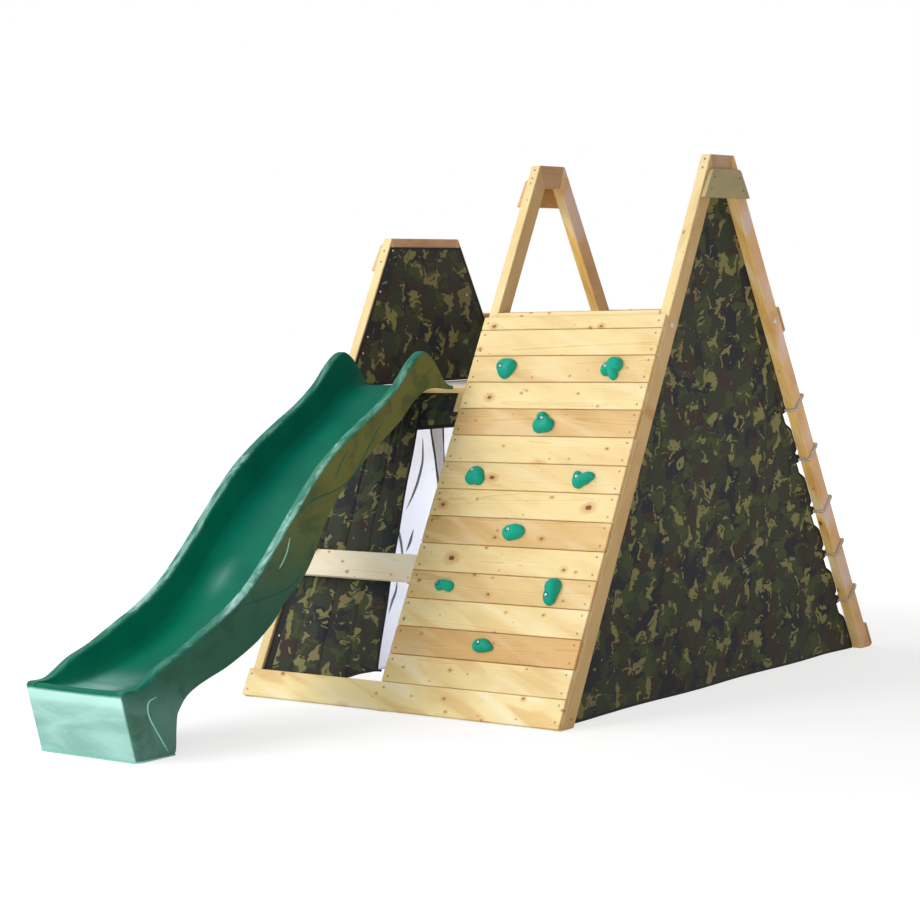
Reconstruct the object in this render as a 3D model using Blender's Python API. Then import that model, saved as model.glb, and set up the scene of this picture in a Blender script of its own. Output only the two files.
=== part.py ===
"""Wooden climbing frame: three A-frames, climbing wall, slide, fabric den and rope net.

Metres, +Z up. The frames stand in planes of constant X. The climbing wall and the
slide face -Y, the rope net faces +Y. The origin is the middle of the footprint.
"""

from math import atan2, cos, pi, radians, sin, tan

import bmesh
import bpy
import numpy as np
from mathutils import Matrix, Vector

# Clearance between two pieces that touch
GAP = 0.0003

# Timber sections
LEG_WIDTH = 0.038
LEG_DEPTH = 0.063
BOARD_WIDTH = 0.097
BOARD_THICKNESS = 0.018
BOARD_SPACING = 0.003
EDGE_ROUND = 0.002

# The three A-frames
FRAME_DEPTH = 2.06
TALL_HEIGHT = 1.83
APEX_DEPTH = 0.1547
LEG_LEAN = atan2((FRAME_DEPTH - APEX_DEPTH) / 2, TALL_HEIGHT)
LOW_HEIGHT = 1.59
LEFT_BAY = 0.554
RIGHT_BAY = 0.674
APEX_BLOCK_DEPTH = 0.080
APEX_BLOCK_RECESS = 0.002
APEX_PLATE_TOP = 0.050
APEX_PLATE_HEIGHT = 0.098
APEX_PLATE_THICKNESS = 0.018
APEX_PLATE_INSET = 0.013
APEX_PLATE_ROUND = 0.008
LOW_PLATE_TOP = 0.021

# Boards, rails and deck, as distances up the slope of the legs
KICK_LIFT = 0.001
FULL_WALL_BOARDS = 13
TOP_BOARD_WIDTH = 0.0485
STEP_START = 0.455
CLEAT_WIDTH = 0.030
CLEAT_DEPTH = 0.045
RAIL_CENTRE = 1.431
RAIL_WIDTH = 0.087
RAIL_DEPTH = 0.045
GUARD_START = 1.366
DECK_TOP = 1.050
DECK_BOARD_WIDTH = 0.095
DECK_LEAST_GAP = 0.0015
DECK_BOARD_THICKNESS = 0.018
DECK_BATTEN_WIDTH = 0.045
DECK_BATTEN_THICKNESS = 0.018

# Bolts that hold the two top rails
BOLT_RADIUS = 0.0035
BOLT_HOLE_RADIUS = 0.0040
BOLT_HEAD_RADIUS = 0.0100
BOLT_HEAD_HEIGHT = 0.0045
BOLT_GRIP = 0.085

# Fabric
CLOTH = 0.002
CLOTH_HEM_LIFT = 0.0006
CLOTH_EDGE = 0.004
DEN_PANEL_PLANE = 0.012
DEN_PANEL_PLEATS = 6
DEN_PANEL_FOLD = 0.0045
DEN_PANEL_TOP_WIDTH = 0.351
DEN_PANEL_FOOT_WIDTH = 0.515
DEN_PANEL_FOOT = 0.035
VALANCE_PLANE = 0.030
VALANCE_FOLD = 0.004
VALANCE_DROP = 0.125
VALANCE_OVERLAP = 0.040
SCREEN_LIFT = 0.004
SCREEN_TOP_CLEARANCE = 0.032
COVER_TOP_CLEARANCE = 0.120
COVER_BILLOW = 0.014
COVER_ON_LEG = 0.022
COVER_REAR_GAP = 0.003
TIE_NOTCH_DEPTH = 0.020
TIE_NOTCH_BELOW = 0.068
TIE_NOTCH_ABOVE = 0.032

# Rope net on the rear of the right bay
ROPE_RADIUS = 0.005
NET_ROWS = (0.277, 0.481, 0.672, 0.897, 1.105)
NET_COLUMNS = 3
KNOT_RADIUS = 0.011
ROPE_SLACK = 0.0006
LOOP_CORNER = 0.007
LOOP_SLANT = 0.018

# Slide
SLIDE_OFFSET = 0.027
SLIDE_RUN = 1.650
SLIDE_WIDTH_TOP = 0.392
SLIDE_WIDTH_FOOT = 0.424
SLIDE_RIM = 0.034
SLIDE_WALL_INSET = 0.016
SLIDE_SKIN = 0.006
SLIDE_WALL_HEIGHT = 0.126
SLIDE_SKIRT_DEPTH = 0.118
SLIDE_FILLET = 0.022
SLIDE_CROWN = 0.005
SLIDE_LIP_HEIGHT = 0.193
SLIDE_TO_DECK_GAP = 0.014
SLIDE_HOOK = 0.030
SLIDE_FOOT_REACH = 0.050
SLIDE_FLANGE = 0.018
SLIDE_FLANGE_THICKNESS = 0.007
SLIDE_FOOT_START = 0.872
SLIDE_STATIONS = 44

# Share of the run, and share of the drop from the deck to the lip
BED_PROFILE = (
    (0.0, 1.0), (0.103, 1.0), (0.139, 0.962), (0.173, 0.908), (0.236, 0.832),
    (0.297, 0.762), (0.377, 0.655), (0.430, 0.580), (0.476, 0.503), (0.521, 0.417),
    (0.558, 0.346), (0.592, 0.282), (0.644, 0.196), (0.719, 0.117), (0.782, 0.072),
    (0.842, 0.036), (0.897, 0.016), (0.955, 0.004), (1.0, 0.0),
)
# Share of the run, and height of the rim over the bed as a share of the wall's height
WALL_PROFILE = (
    (0.0, 0.016), (0.020, 0.05), (0.056, 0.58), (0.099, 1.0), (0.127, 0.984),
    (0.173, 0.889), (0.242, 0.817), (0.297, 0.865), (0.382, 0.992), (0.505, 1.0),
    (0.644, 0.952), (0.719, 0.873), (0.782, 0.794), (0.842, 0.675), (0.897, 0.540),
    (0.955, 0.357), (1.0, 0.238),
)
# Share of the run, and depth of the skirt under the bed as a share of its greatest depth
SKIRT_PROFILE = (
    (0.0, 0.093), (0.121, 0.119), (0.244, 0.136), (0.321, 0.153), (0.391, 0.254),
    (0.432, 0.525), (0.453, 0.780), (0.494, 1.0), (0.527, 0.915), (0.559, 0.788),
    (0.583, 0.797), (0.624, 0.678), (0.664, 0.559), (0.724, 0.475), (0.784, 0.424),
    (0.830, 0.458), (0.850, 0.590), (0.860, 0.85), (0.866, 1.25),
)

# Climbing holds: column, board from the top of the full boards, length, width, turn,
# pinch at the waist, third lobe, height; sizes are shares of HOLD_SIZE, turns are degrees
HOLD_COLUMN = 0.220
HOLD_SIZE = 0.100
HOLDS = (
    (-1, 1, 0.92, 0.74, 30, 0.05, 0.06, 0.34),
    (1, 1, 1.00, 0.76, 55, 0.16, 0.14, 0.32),
    (0, 3, 0.98, 0.78, 10, 0.12, 0.10, 0.34),
    (-1, 5, 0.84, 0.62, 20, 0.04, 0.08, 0.30),
    (1, 5, 0.96, 0.70, 25, 0.20, 0.05, 0.30),
    (0, 7, 0.92, 0.66, 5, 0.03, 0.02, 0.32),
    (-1, 9, 0.86, 0.46, -5, 0.08, 0.02, 0.28),
    (1, 9, 1.06, 0.76, 75, 0.22, 0.04, 0.34),
    (0, 11, 1.04, 0.60, 5, 0.04, 0.05, 0.30),
)
HOLD_POINTS = 18
HOLD_RINGS = ((1.00, 0.0), (1.02, 0.22), (0.97, 0.52), (0.78, 0.82), (0.42, 0.98))

# Places that follow from the sizes above
FRAME_WIDTH = 3 * LEG_WIDTH + LEFT_BAY + RIGHT_BAY
LEFT_IN = LEG_WIDTH - FRAME_WIDTH / 2
MIDDLE_LEFT = LEFT_IN + LEFT_BAY
MIDDLE_RIGHT = MIDDLE_LEFT + LEG_WIDTH
RIGHT_IN = MIDDLE_RIGHT + RIGHT_BAY
RIGHT_OUT = RIGHT_IN + LEG_WIDTH
LEFT_OUT = LEFT_IN - LEG_WIDTH
BOARD_PITCH = BOARD_WIDTH + BOARD_SPACING
WALL_START = BOARD_PITCH
CLAMPED = CLOTH + 2 * GAP
FRONT, REAR = -1, 1

WOOD_PALE = ("pine_pale", (0.80, 0.60, 0.27), 0.62, 0.0)
WOOD_TAN = ("pine_tan", (0.62, 0.40, 0.17), 0.62, 0.0)
WOOD_AGED = ("pine_aged", (0.36, 0.27, 0.15), 0.65, 0.0)
WOOD_PINK = ("pine_pink", (0.33, 0.18, 0.11), 0.65, 0.0)
PLASTIC = ("slide_green", (0.010, 0.19, 0.12), 0.30, 0.0)
HOLD_GREEN = ("hold_green", (0.008, 0.31, 0.20), 0.45, 0.0)
CAMOUFLAGE = ("camouflage_cloth", (0.045, 0.052, 0.030), 0.85, 0.0)
ROPE = ("rope_grey", (0.42, 0.36, 0.32), 0.90, 0.0)
ZINC = ("bolt_zinc", (0.62, 0.63, 0.64), 0.32, 1.0)


def clear_scene():
    for old in list(bpy.data.objects):
        bpy.data.objects.remove(old)


def material(finish):
    name, colour, roughness, metallic = finish
    found = bpy.data.materials.get(name)
    if found:
        return found
    made = bpy.data.materials.new(name)
    made.use_nodes = True
    shader = made.node_tree.nodes["Principled BSDF"]
    shader.inputs["Base Color"].default_value = (*colour, 1.0)
    shader.inputs["Roughness"].default_value = roughness
    shader.inputs["Metallic"].default_value = metallic
    return made


def add_object(name, bm, finish, smooth=False):
    """A scene object from a bmesh, with its faces turned outwards."""
    bmesh.ops.recalc_face_normals(bm, faces=bm.faces)
    mesh = bpy.data.meshes.new(name)
    bm.to_mesh(mesh)
    bm.free()
    if smooth:
        mesh.shade_smooth()
        mesh.set_sharp_from_angle(angle=radians(38))
    made = bpy.data.objects.new(name, mesh)
    made.data.materials.append(material(finish))
    bpy.context.scene.collection.objects.link(made)
    return made


def hide_helper(helper):
    helper.hide_render = True
    helper.display_type = "WIRE"
    return helper


def add_boolean(target, helper, operation):
    modifier = target.modifiers.new(operation.lower() + "_" + helper.name, "BOOLEAN")
    modifier.operation = operation
    modifier.solver = "EXACT"
    modifier.object = helper


def round_edges(target, width=EDGE_ROUND, segments=1):
    modifier = target.modifiers.new("edges", "BEVEL")
    modifier.width = width
    modifier.segments = segments
    modifier.limit_method = "ANGLE"
    modifier.angle_limit = radians(30)


def extrude_outline(bm, outline, low, high):
    """One closed prism along X over an outline of (y, z) points."""
    face = bm.faces.new([bm.verts.new((low, y, z)) for y, z in outline])
    grown = bmesh.ops.extrude_face_region(bm, geom=[face])["geom"]
    moved = [item for item in grown if isinstance(item, bmesh.types.BMVert)]
    bmesh.ops.translate(bm, verts=moved, vec=(high - low, 0, 0))


def prism(name, outline, low, high, finish, rounded=EDGE_ROUND):
    bm = bmesh.new()
    extrude_outline(bm, outline, low, high)
    made = add_object(name, bm, finish)
    if rounded:
        round_edges(made, rounded)
    return made


def on_slope(side, along, out):
    """(y, z) at a distance up the outer face of the legs, and out from that face."""
    y = FRAME_DEPTH / 2 - along * sin(LEG_LEAN) + out * cos(LEG_LEAN)
    return side * y, along * cos(LEG_LEAN) + out * sin(LEG_LEAN)


def slope_y(side, height, out):
    """y at a height, on a plane that lies out from the legs' outer face."""
    return side * (FRAME_DEPTH / 2 - height * tan(LEG_LEAN) + out / cos(LEG_LEAN))


def slope_block(name, side, along, out, across, finish, rounded=EDGE_ROUND):
    """A squared timber that lies on the slope; along, out and across are (low, high)."""
    outline = [
        on_slope(side, along[0], out[0]),
        on_slope(side, along[1], out[0]),
        on_slope(side, along[1], out[1]),
        on_slope(side, along[0], out[1]),
    ]
    return prism(name, outline, across[0], across[1], finish, rounded)


def leg(name, side, height, left, finish):
    """One leg, level at the foot and mitred at the top, where the block meets it."""
    block_foot = height - APEX_BLOCK_DEPTH
    outline = [
        (slope_y(side, 0.0, 0.0), 0.0),
        (slope_y(side, 0.0, -LEG_DEPTH), 0.0),
        (slope_y(side, block_foot, -LEG_DEPTH), block_foot),
        (slope_y(side, height, 0.0) - side * 2 * EDGE_ROUND, height),
        (slope_y(side, height, 0.0), height),
    ]
    made = prism(name, outline, left, left + LEG_WIDTH, finish)
    return made


def apex_block(name, height, left):
    """The wide-topped block between the mitred ends of two legs."""
    foot = height - APEX_BLOCK_DEPTH
    half_top = slope_y(REAR, height, 0.0) - 2 * EDGE_ROUND - 2 * GAP
    half_foot = slope_y(REAR, foot, -LEG_DEPTH) - 2 * GAP
    outline = [(-half_foot, foot), (half_foot, foot), (half_top, height), (-half_top, height)]
    low = left + APEX_BLOCK_RECESS
    high = left + LEG_WIDTH - APEX_BLOCK_RECESS
    return prism(name, outline, low, high, WOOD_PINK, EDGE_ROUND / 2)


def apex_plate(name, height, drop, low):
    """The rounded plate that ties two legs together on one side of a frame."""
    top = height - drop
    foot = top - APEX_PLATE_HEIGHT
    half_top = slope_y(REAR, top, 0.0) - APEX_PLATE_INSET
    half_foot = slope_y(REAR, foot, 0.0) - APEX_PLATE_INSET / 3
    bm = bmesh.new()
    outline = [(-half_foot, foot), (half_foot, foot), (half_top, top), (-half_top, top)]
    extrude_outline(bm, outline, low, low + APEX_PLATE_THICKNESS)
    corners = [e for e in bm.edges if abs(e.verts[0].co.x - e.verts[1].co.x) > GAP]
    bmesh.ops.bevel(
        bm, geom=corners, offset=APEX_PLATE_ROUND, segments=3, profile=0.5,
        affect="EDGES", material=-1,
    )
    made = add_object(name, bm, WOOD_AGED if low > 0 else WOOD_TAN)
    round_edges(made, EDGE_ROUND / 2)
    return made


def build_frames():
    """Six legs, the blocks or beam between them, and their plates."""
    frames = (
        ("right", TALL_HEIGHT, RIGHT_IN, APEX_PLATE_TOP, RIGHT_OUT + GAP),
        ("middle", TALL_HEIGHT, MIDDLE_LEFT, APEX_PLATE_TOP,
         MIDDLE_LEFT - GAP - APEX_PLATE_THICKNESS),
        ("left", LOW_HEIGHT, LEFT_OUT, LOW_PLATE_TOP, LEFT_OUT - GAP - APEX_PLATE_THICKNESS),
    )
    legs = {}
    for name, height, left, drop, plate_low in frames:
        legs[name, FRONT] = leg(name + "_front_leg", FRONT, height, left, WOOD_PALE)
        legs[name, REAR] = leg(name + "_rear_leg", REAR, height, left, WOOD_TAN)
        block = "left_top_beam" if name == "left" else name + "_apex_block"
        apex_block(block, height, left)
        apex_plate(name + "_apex_plate", height, drop, plate_low)
    return legs


def build_boards():
    """Kick boards, the climbing wall, the step beside it and the rear guard board."""
    whole = (LEFT_OUT, RIGHT_OUT)
    face = (GAP, GAP + BOARD_THICKNESS)
    kick = (KICK_LIFT, KICK_LIFT + BOARD_WIDTH)
    slope_block("front_kick_board", FRONT, kick, face, whole, WOOD_PALE)
    slope_block("rear_kick_board", REAR, kick, face, whole, WOOD_TAN)
    guard = (GUARD_START, GUARD_START + BOARD_WIDTH)
    slope_block("rear_guard_board", REAR, guard, face, whole, WOOD_TAN)
    wall = (MIDDLE_LEFT, RIGHT_OUT)
    for index in range(FULL_WALL_BOARDS + 1):
        start = WALL_START + index * BOARD_PITCH
        width = BOARD_WIDTH if index < FULL_WALL_BOARDS else TOP_BOARD_WIDTH
        number = FULL_WALL_BOARDS + 1 - index
        finish = WOOD_TAN if number > 1 and number % 2 else WOOD_PALE
        name = f"wall_board_{number:02d}"
        slope_block(name, FRONT, (start, start + width), face, wall, finish)
    step = (STEP_START, STEP_START + BOARD_WIDTH)
    slope_block("step_board", FRONT, step, face, (LEFT_OUT, MIDDLE_LEFT - GAP), WOOD_PALE)
    cleat = (MIDDLE_LEFT - GAP - CLEAT_WIDTH, MIDDLE_LEFT - GAP)
    slope_block("step_cleat", FRONT, step, (-CLEAT_DEPTH, -GAP), cleat, WOOD_TAN)


def build_bolt(name, side, head, direction):
    """A round-headed bolt along X, and the hole that it needs."""
    y, z = on_slope(side, RAIL_CENTRE, -LEG_DEPTH / 2)
    dome = 5
    profile = [(-BOLT_HEAD_HEIGHT * cos(pi / 2 * k / dome), BOLT_HEAD_RADIUS * sin(pi / 2 * k / dome))
               for k in range(dome + 1)]
    profile += [(0.0, BOLT_RADIUS), (BOLT_GRIP, BOLT_RADIUS), (BOLT_GRIP, 0.0)]
    bm = bmesh.new()
    points = [bm.verts.new((x, r, 0.0)) for x, r in profile]
    edges = [bm.edges.new(pair) for pair in zip(points, points[1:])]
    bmesh.ops.spin(
        bm, geom=points + edges, cent=(0, 0, 0), axis=(1, 0, 0), angle=2 * pi,
        steps=12, use_merge=True,
    )
    bmesh.ops.remove_doubles(bm, verts=bm.verts, dist=0.00001)
    turn = Matrix.Rotation(0.0 if direction > 0 else pi, 4, "Z")
    bmesh.ops.transform(bm, matrix=turn, verts=bm.verts)
    bmesh.ops.translate(bm, verts=bm.verts, vec=(head - direction * GAP, y, z))
    add_object(name, bm, ZINC, smooth=True)
    bm = bmesh.new()
    bmesh.ops.create_cone(
        bm, cap_ends=True, segments=12, radius1=BOLT_HOLE_RADIUS, radius2=BOLT_HOLE_RADIUS,
        depth=2 * (BOLT_GRIP + 2 * GAP),
    )
    bmesh.ops.transform(bm, matrix=Matrix.Rotation(pi / 2, 4, "Y"), verts=bm.verts)
    bmesh.ops.translate(bm, verts=bm.verts, vec=(head, y, z))
    return hide_helper(add_object(name + "_hole", bm, ZINC))


def build_rails(legs):
    """Two rails between the tall frames, each bolted through a leg at both ends."""
    along = (RAIL_CENTRE - RAIL_WIDTH / 2, RAIL_CENTRE + RAIL_WIDTH / 2)
    out = (-RAIL_DEPTH, 0.0)
    holes = []
    for side, place, behind in ((FRONT, "front", CLAMPED), (REAR, "rear", GAP)):
        across = (MIDDLE_RIGHT + GAP, RIGHT_IN - behind)
        rail = slope_block(place + "_top_rail", side, along, out, across, WOOD_PALE)
        right = build_bolt(f"right_{place}_bolt", side, RIGHT_OUT, -1)
        middle = build_bolt(f"middle_{place}_bolt", side, MIDDLE_LEFT, 1)
        add_boolean(rail, right, "DIFFERENCE")
        add_boolean(rail, middle, "DIFFERENCE")
        add_boolean(legs["right", side], right, "DIFFERENCE")
        add_boolean(legs["middle", side], middle, "DIFFERENCE")
        holes.append(right)
    return holes[0]


def joist(name, left, front_set_back, rear_set_back):
    """A level timber along one frame, its ends cut to the slope of the legs."""
    top = DECK_TOP - DECK_BOARD_THICKNESS - GAP
    foot = top - LEG_DEPTH
    outline = [
        (slope_y(FRONT, foot, -front_set_back), foot),
        (slope_y(REAR, foot, -rear_set_back), foot),
        (slope_y(REAR, top, -rear_set_back), top),
        (slope_y(FRONT, top, -front_set_back), top),
    ]
    return prism(name, outline, left, left + LEG_WIDTH, WOOD_TAN)


def deck(name, left, right):
    """Deck boards of one bay, held together by two battens under them."""
    half = slope_y(REAR, DECK_TOP, 0.0)
    boards = max(2, int((2 * half + DECK_LEAST_GAP) / (DECK_BOARD_WIDTH + DECK_LEAST_GAP)))
    spacing = (2 * half - boards * DECK_BOARD_WIDTH) / (boards - 1)
    foot = DECK_TOP - DECK_BOARD_THICKNESS
    bm = bmesh.new()
    for index in range(boards):
        y = -half + index * (DECK_BOARD_WIDTH + spacing)
        outline = [(y, foot), (y + DECK_BOARD_WIDTH, foot), (y + DECK_BOARD_WIDTH, DECK_TOP), (y, DECK_TOP)]
        extrude_outline(bm, outline, left, right)
    planks = hide_helper(add_object(name + "_boards", bm, WOOD_PALE))
    end = half - DECK_BOARD_WIDTH / 2
    low = foot - DECK_BATTEN_THICKNESS
    high = foot + DECK_BOARD_THICKNESS / 2
    bm = bmesh.new()
    for share in (1 / 3, 2 / 3):
        x = left + (right - left) * share - DECK_BATTEN_WIDTH / 2
        outline = [(-end, low), (end, low), (end, high), (-end, high)]
        extrude_outline(bm, outline, x, x + DECK_BATTEN_WIDTH)
    made = add_object(name, bm, WOOD_PALE)
    add_boolean(made, planks, "UNION")
    return made


def build_deck():
    """Four joists on the inner faces of the frames, and a deck in each bay."""
    behind_panel = VALANCE_PLANE + VALANCE_FOLD + 4 * CLOTH
    joist("left_joist", LEFT_IN + CLAMPED, behind_panel, GAP)
    joist("middle_left_joist", MIDDLE_LEFT - GAP - LEG_WIDTH, GAP, GAP)
    joist("middle_right_joist", MIDDLE_RIGHT + GAP, GAP, GAP)
    joist("right_joist", RIGHT_IN - CLAMPED - LEG_WIDTH, GAP, GAP)
    deck("left_deck", LEFT_IN + GAP, MIDDLE_LEFT - GAP)
    deck("right_deck", MIDDLE_RIGHT + GAP, RIGHT_IN - CLAMPED)


def through(points, at):
    """A smooth value between listed (place, value) points."""
    places = np.array([p for p, _ in points])
    values = np.array([v for _, v in points])
    slopes = np.gradient(values, places)
    k = int(np.clip(np.searchsorted(places, at) - 1, 0, len(places) - 2))
    width = places[k + 1] - places[k]
    t = float(np.clip((at - places[k]) / width, 0.0, 1.0))
    first = values[k] * (1 + 2 * t) * (1 - t) ** 2 + values[k + 1] * t * t * (3 - 2 * t)
    return float(first + width * (slopes[k] * t * (1 - t) ** 2 - slopes[k + 1] * t * t * (1 - t)))


def slide_section(share):
    """The closed cross-section of the slide at a share of its run, as (x, z) points."""
    top = DECK_TOP + GAP + SLIDE_SKIN
    bed = SLIDE_LIP_HEIGHT + (top - SLIDE_LIP_HEIGHT) * through(BED_PROFILE, share)
    wall = SLIDE_WALL_HEIGHT * max(through(WALL_PROFILE, share), 0.01)
    rim = bed + wall
    half = (SLIDE_WIDTH_TOP + (SLIDE_WIDTH_FOOT - SLIDE_WIDTH_TOP) * share) / 2
    if share < SLIDE_FOOT_START:
        depth = SLIDE_SKIRT_DEPTH * through(SKIRT_PROFILE, min(share, SKIRT_PROFILE[-1][0]))
        skirt = bed - max(depth, 1.7 * SLIDE_SKIN)
        flare = 0.0
    else:
        skirt = 0.0
        flare = SLIDE_FLANGE / 4
    inner = half - SLIDE_RIM
    bed_half = inner - SLIDE_WALL_INSET * min(1.0, 1.25 * wall / SLIDE_WALL_HEIGHT)
    fillet = min(SLIDE_FILLET, 0.6 * wall)
    crown = min(SLIDE_CROWN, 0.25 * wall)
    dip = SLIDE_SKIN / 4
    upper = [
        (half + flare, skirt), (half, rim - 2 * crown), (half - crown, rim - crown / 2),
        (half - 2.4 * crown, rim), (inner + 2 * crown, rim), (inner + crown, rim - crown / 2),
        (inner, rim - 2 * crown), (bed_half + 0.1 * fillet, bed + fillet),
        (bed_half - 0.35 * fillet, bed + 0.28 * fillet), (bed_half - fillet, bed),
        (bed_half * 0.42, bed - 0.7 * dip), (0.0, bed - dip),
    ]
    skin = SLIDE_SKIN
    hollow_top = max(rim - 2 * crown - skin, bed + 0.12 * fillet)
    under = [
        (0.0, bed - dip - skin), (bed_half * 0.42, bed - 0.7 * dip - skin),
        (bed_half - fillet + skin / 2, bed - skin),
        (bed_half + skin * 0.9, bed + 0.1 * fillet),
        (inner + skin, hollow_top), (half - skin, hollow_top), (half + flare - skin, skirt),
    ]
    right = upper[:-1]
    left = [(-x, z) for x, z in reversed(right)]
    below_left = [(-x, z) for x, z in reversed(under)]
    return right + [upper[-1]] + left + below_left[:-1] + under


def build_slide():
    """A thin-walled moulded chute from the deck's edge to its own foot."""
    centre = (LEFT_IN + MIDDLE_LEFT) / 2 + SLIDE_OFFSET
    deck_front = slope_y(FRONT, DECK_TOP, 0.0)
    start = deck_front - SLIDE_TO_DECK_GAP
    shares = [k / SLIDE_STATIONS for k in range(SLIDE_STATIONS + 1)]
    near_foot = [place for place, _ in SKIRT_PROFILE[-3:]]
    shares = [s for s in shares if abs(s - near_foot[1]) > 0.018]
    shares = sorted(shares + near_foot + [SLIDE_FOOT_START - 0.002, SLIDE_FOOT_START + 0.002, 0.010])
    bm = bmesh.new()
    rings = []
    for share in shares:
        ring = []
        for x, z in slide_section(share):
            ring.append(bm.verts.new((centre + x, foot_y(start, share, z), z)))
        rings.append(ring)
    for first, second in zip(rings, rings[1:]):
        count = len(first)
        for k in range(count):
            bm.faces.new((first[k], first[(k + 1) % count], second[(k + 1) % count], second[k]))
    bm.faces.new(rings[0])
    bm.faces.new(list(reversed(rings[-1])))
    slide = add_object("slide", bm, PLASTIC, smooth=True)
    hook = hide_helper(slide_hook(centre, start))
    add_boolean(slide, hook, "UNION")
    front = hide_helper(slide_front_wall(centre, start))
    add_boolean(slide, front, "UNION")
    add_boolean(slide, hide_helper(slide_flange(centre, start)), "UNION")
    return slide


def slide_hook(centre, start):
    """The flat lip that lies on the deck's front edge."""
    half = SLIDE_WIDTH_TOP / 2 - SLIDE_RIM - SLIDE_WALL_INSET
    deck_front = slope_y(FRONT, DECK_TOP, 0.0)
    low, high = DECK_TOP + GAP, DECK_TOP + GAP + 0.63 * SLIDE_SKIN
    first = start - 0.5 * SLIDE_TO_DECK_GAP
    last = deck_front + SLIDE_HOOK
    bm = bmesh.new()
    extrude_outline(bm, [(first, low), (last, low), (last, high), (first, high)],
                    centre - half, centre + half)
    return add_object("slide_hook", bm, PLASTIC)


def foot_y(start, share, height):
    """y of the slide at a share of its run and a height; the foot leans outwards."""
    into_foot = max(0.0, (share - SLIDE_FOOT_START) / (1 - SLIDE_FOOT_START))
    return start - SLIDE_RUN * share + SLIDE_FOOT_REACH * into_foot * (1 - height / SLIDE_LIP_HEIGHT)


def slide_front_wall(centre, start):
    """The closed front of the foot, under the lip."""
    half = SLIDE_WIDTH_FOOT / 2 - SLIDE_SKIN / 2
    top = SLIDE_LIP_HEIGHT - SLIDE_SKIN / 2
    inset = SLIDE_SKIN / 6
    thick = SLIDE_SKIN / SLIDE_RUN
    outline = [
        (foot_y(start, 1.0, 0.0) + inset, 0.0),
        (foot_y(start, 1.0, top) + inset, top),
        (foot_y(start, 1.0 - thick, top) + inset, top),
        (foot_y(start, 1.0 - thick, 0.0) + inset, 0.0),
    ]
    bm = bmesh.new()
    extrude_outline(bm, outline, centre - half, centre + half)
    return add_object("slide_front_wall", bm, PLASTIC)


def slide_flange(centre, start):
    """The flat edge that the foot stands on, round three of its sides."""
    half = SLIDE_WIDTH_FOOT / 2 + SLIDE_FLANGE
    wide = SLIDE_FLANGE + SLIDE_SKIN
    front = foot_y(start, 1.0, 0.0) - SLIDE_FLANGE / 3
    back = foot_y(start, SLIDE_FOOT_START + 0.002, 0.0) - SLIDE_SKIN / 2
    inner = front + wide
    bm = bmesh.new()
    corners = [
        (-half, front), (half, front), (half, back), (half - wide, back),
        (half - wide, inner), (wide - half, inner), (wide - half, back), (-half, back),
    ]
    face = bm.faces.new([bm.verts.new((centre + x, y, 0.0)) for x, y in corners])
    grown = bmesh.ops.extrude_face_region(bm, geom=[face])["geom"]
    raised = [item for item in grown if isinstance(item, bmesh.types.BMVert)]
    bmesh.ops.translate(bm, verts=raised, vec=(0, 0, SLIDE_FLANGE_THICKNESS))
    return add_object("slide_flange", bm, PLASTIC)


def build_holds():
    """Moulded grips, each a lumpy dome with a flat back on its board."""
    middle = (MIDDLE_RIGHT + RIGHT_IN) / 2
    for number, hold in enumerate(HOLDS, start=1):
        column, row, length, width, turn, pinch, lobe, height = hold
        board = FULL_WALL_BOARDS - row
        along = WALL_START + board * BOARD_PITCH - BOARD_PITCH + BOARD_WIDTH / 2
        y, z = on_slope(FRONT, along, BOARD_THICKNESS + 2 * GAP)
        place = Matrix.Translation((middle + column * HOLD_COLUMN, y, z))
        tilt = Matrix.Rotation(pi / 2 - LEG_LEAN, 4, "X")
        bm = bmesh.new()
        rings = []
        for scale, rise in HOLD_RINGS:
            ring = []
            for k in range(HOLD_POINTS):
                angle = 2 * pi * k / HOLD_POINTS
                reach = 1 - pinch * (1 - cos(2 * angle)) / 2 + lobe * cos(3 * angle + 0.6)
                x = length / 2 * cos(angle) * reach * scale
                y = width / 2 * sin(angle) * reach * scale
                ring.append(bm.verts.new(HOLD_SIZE * Vector((x, y, height * rise * (1 - 0.15 * x)))))
            rings.append(ring)
        for first, second in zip(rings, rings[1:]):
            for k in range(HOLD_POINTS):
                after = (k + 1) % HOLD_POINTS
                bm.faces.new((first[k], first[after], second[after], second[k]))
        bm.faces.new(list(reversed(rings[0])))
        bm.faces.new(rings[-1])
        matrix = place @ tilt @ Matrix.Rotation(radians(turn), 4, "Z")
        bmesh.ops.transform(bm, matrix=matrix, verts=bm.verts)
        add_object(f"hold_{number}", bm, HOLD_GREEN, smooth=True)


def even(count):
    """Places from 0 to 1 in equal steps."""
    return [k / count for k in range(count + 1)]


def cloth_sheet(name, across, upward, place):
    """A closed sheet of cloth; place gives its middle point and its normal at (u, v)."""
    bm = bmesh.new()
    layers = []
    for offset in (CLOTH / 2, -CLOTH / 2):
        layer = []
        for v in upward:
            line = []
            for u in across:
                point, normal = place(u, v)
                line.append(bm.verts.new(Vector(point) + Vector(normal) * offset))
            layer.append(line)
        layers.append(layer)
    front, back = layers
    columns, rows = len(across) - 1, len(upward) - 1
    for row in range(rows):
        for column in range(columns):
            a, b = (row, column), (row, column + 1)
            c, d = (row + 1, column + 1), (row + 1, column)
            for corners in ((a, b, c), (a, c, d)):
                bm.faces.new([front[i][j] for i, j in corners])
                bm.faces.new([back[i][j] for i, j in reversed(corners)])
    rim = [(0, j) for j in range(columns)] + [(i, columns) for i in range(rows)]
    rim += [(rows, j) for j in range(columns, 0, -1)] + [(i, 0) for i in range(rows, 0, -1)]
    for (i, j), (p, q) in zip(rim, rim[1:] + rim[:1]):
        bm.faces.new((front[p][q], front[i][j], back[i][j], back[p][q]))
    return add_object(name, bm, CAMOUFLAGE, smooth=True)


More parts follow.
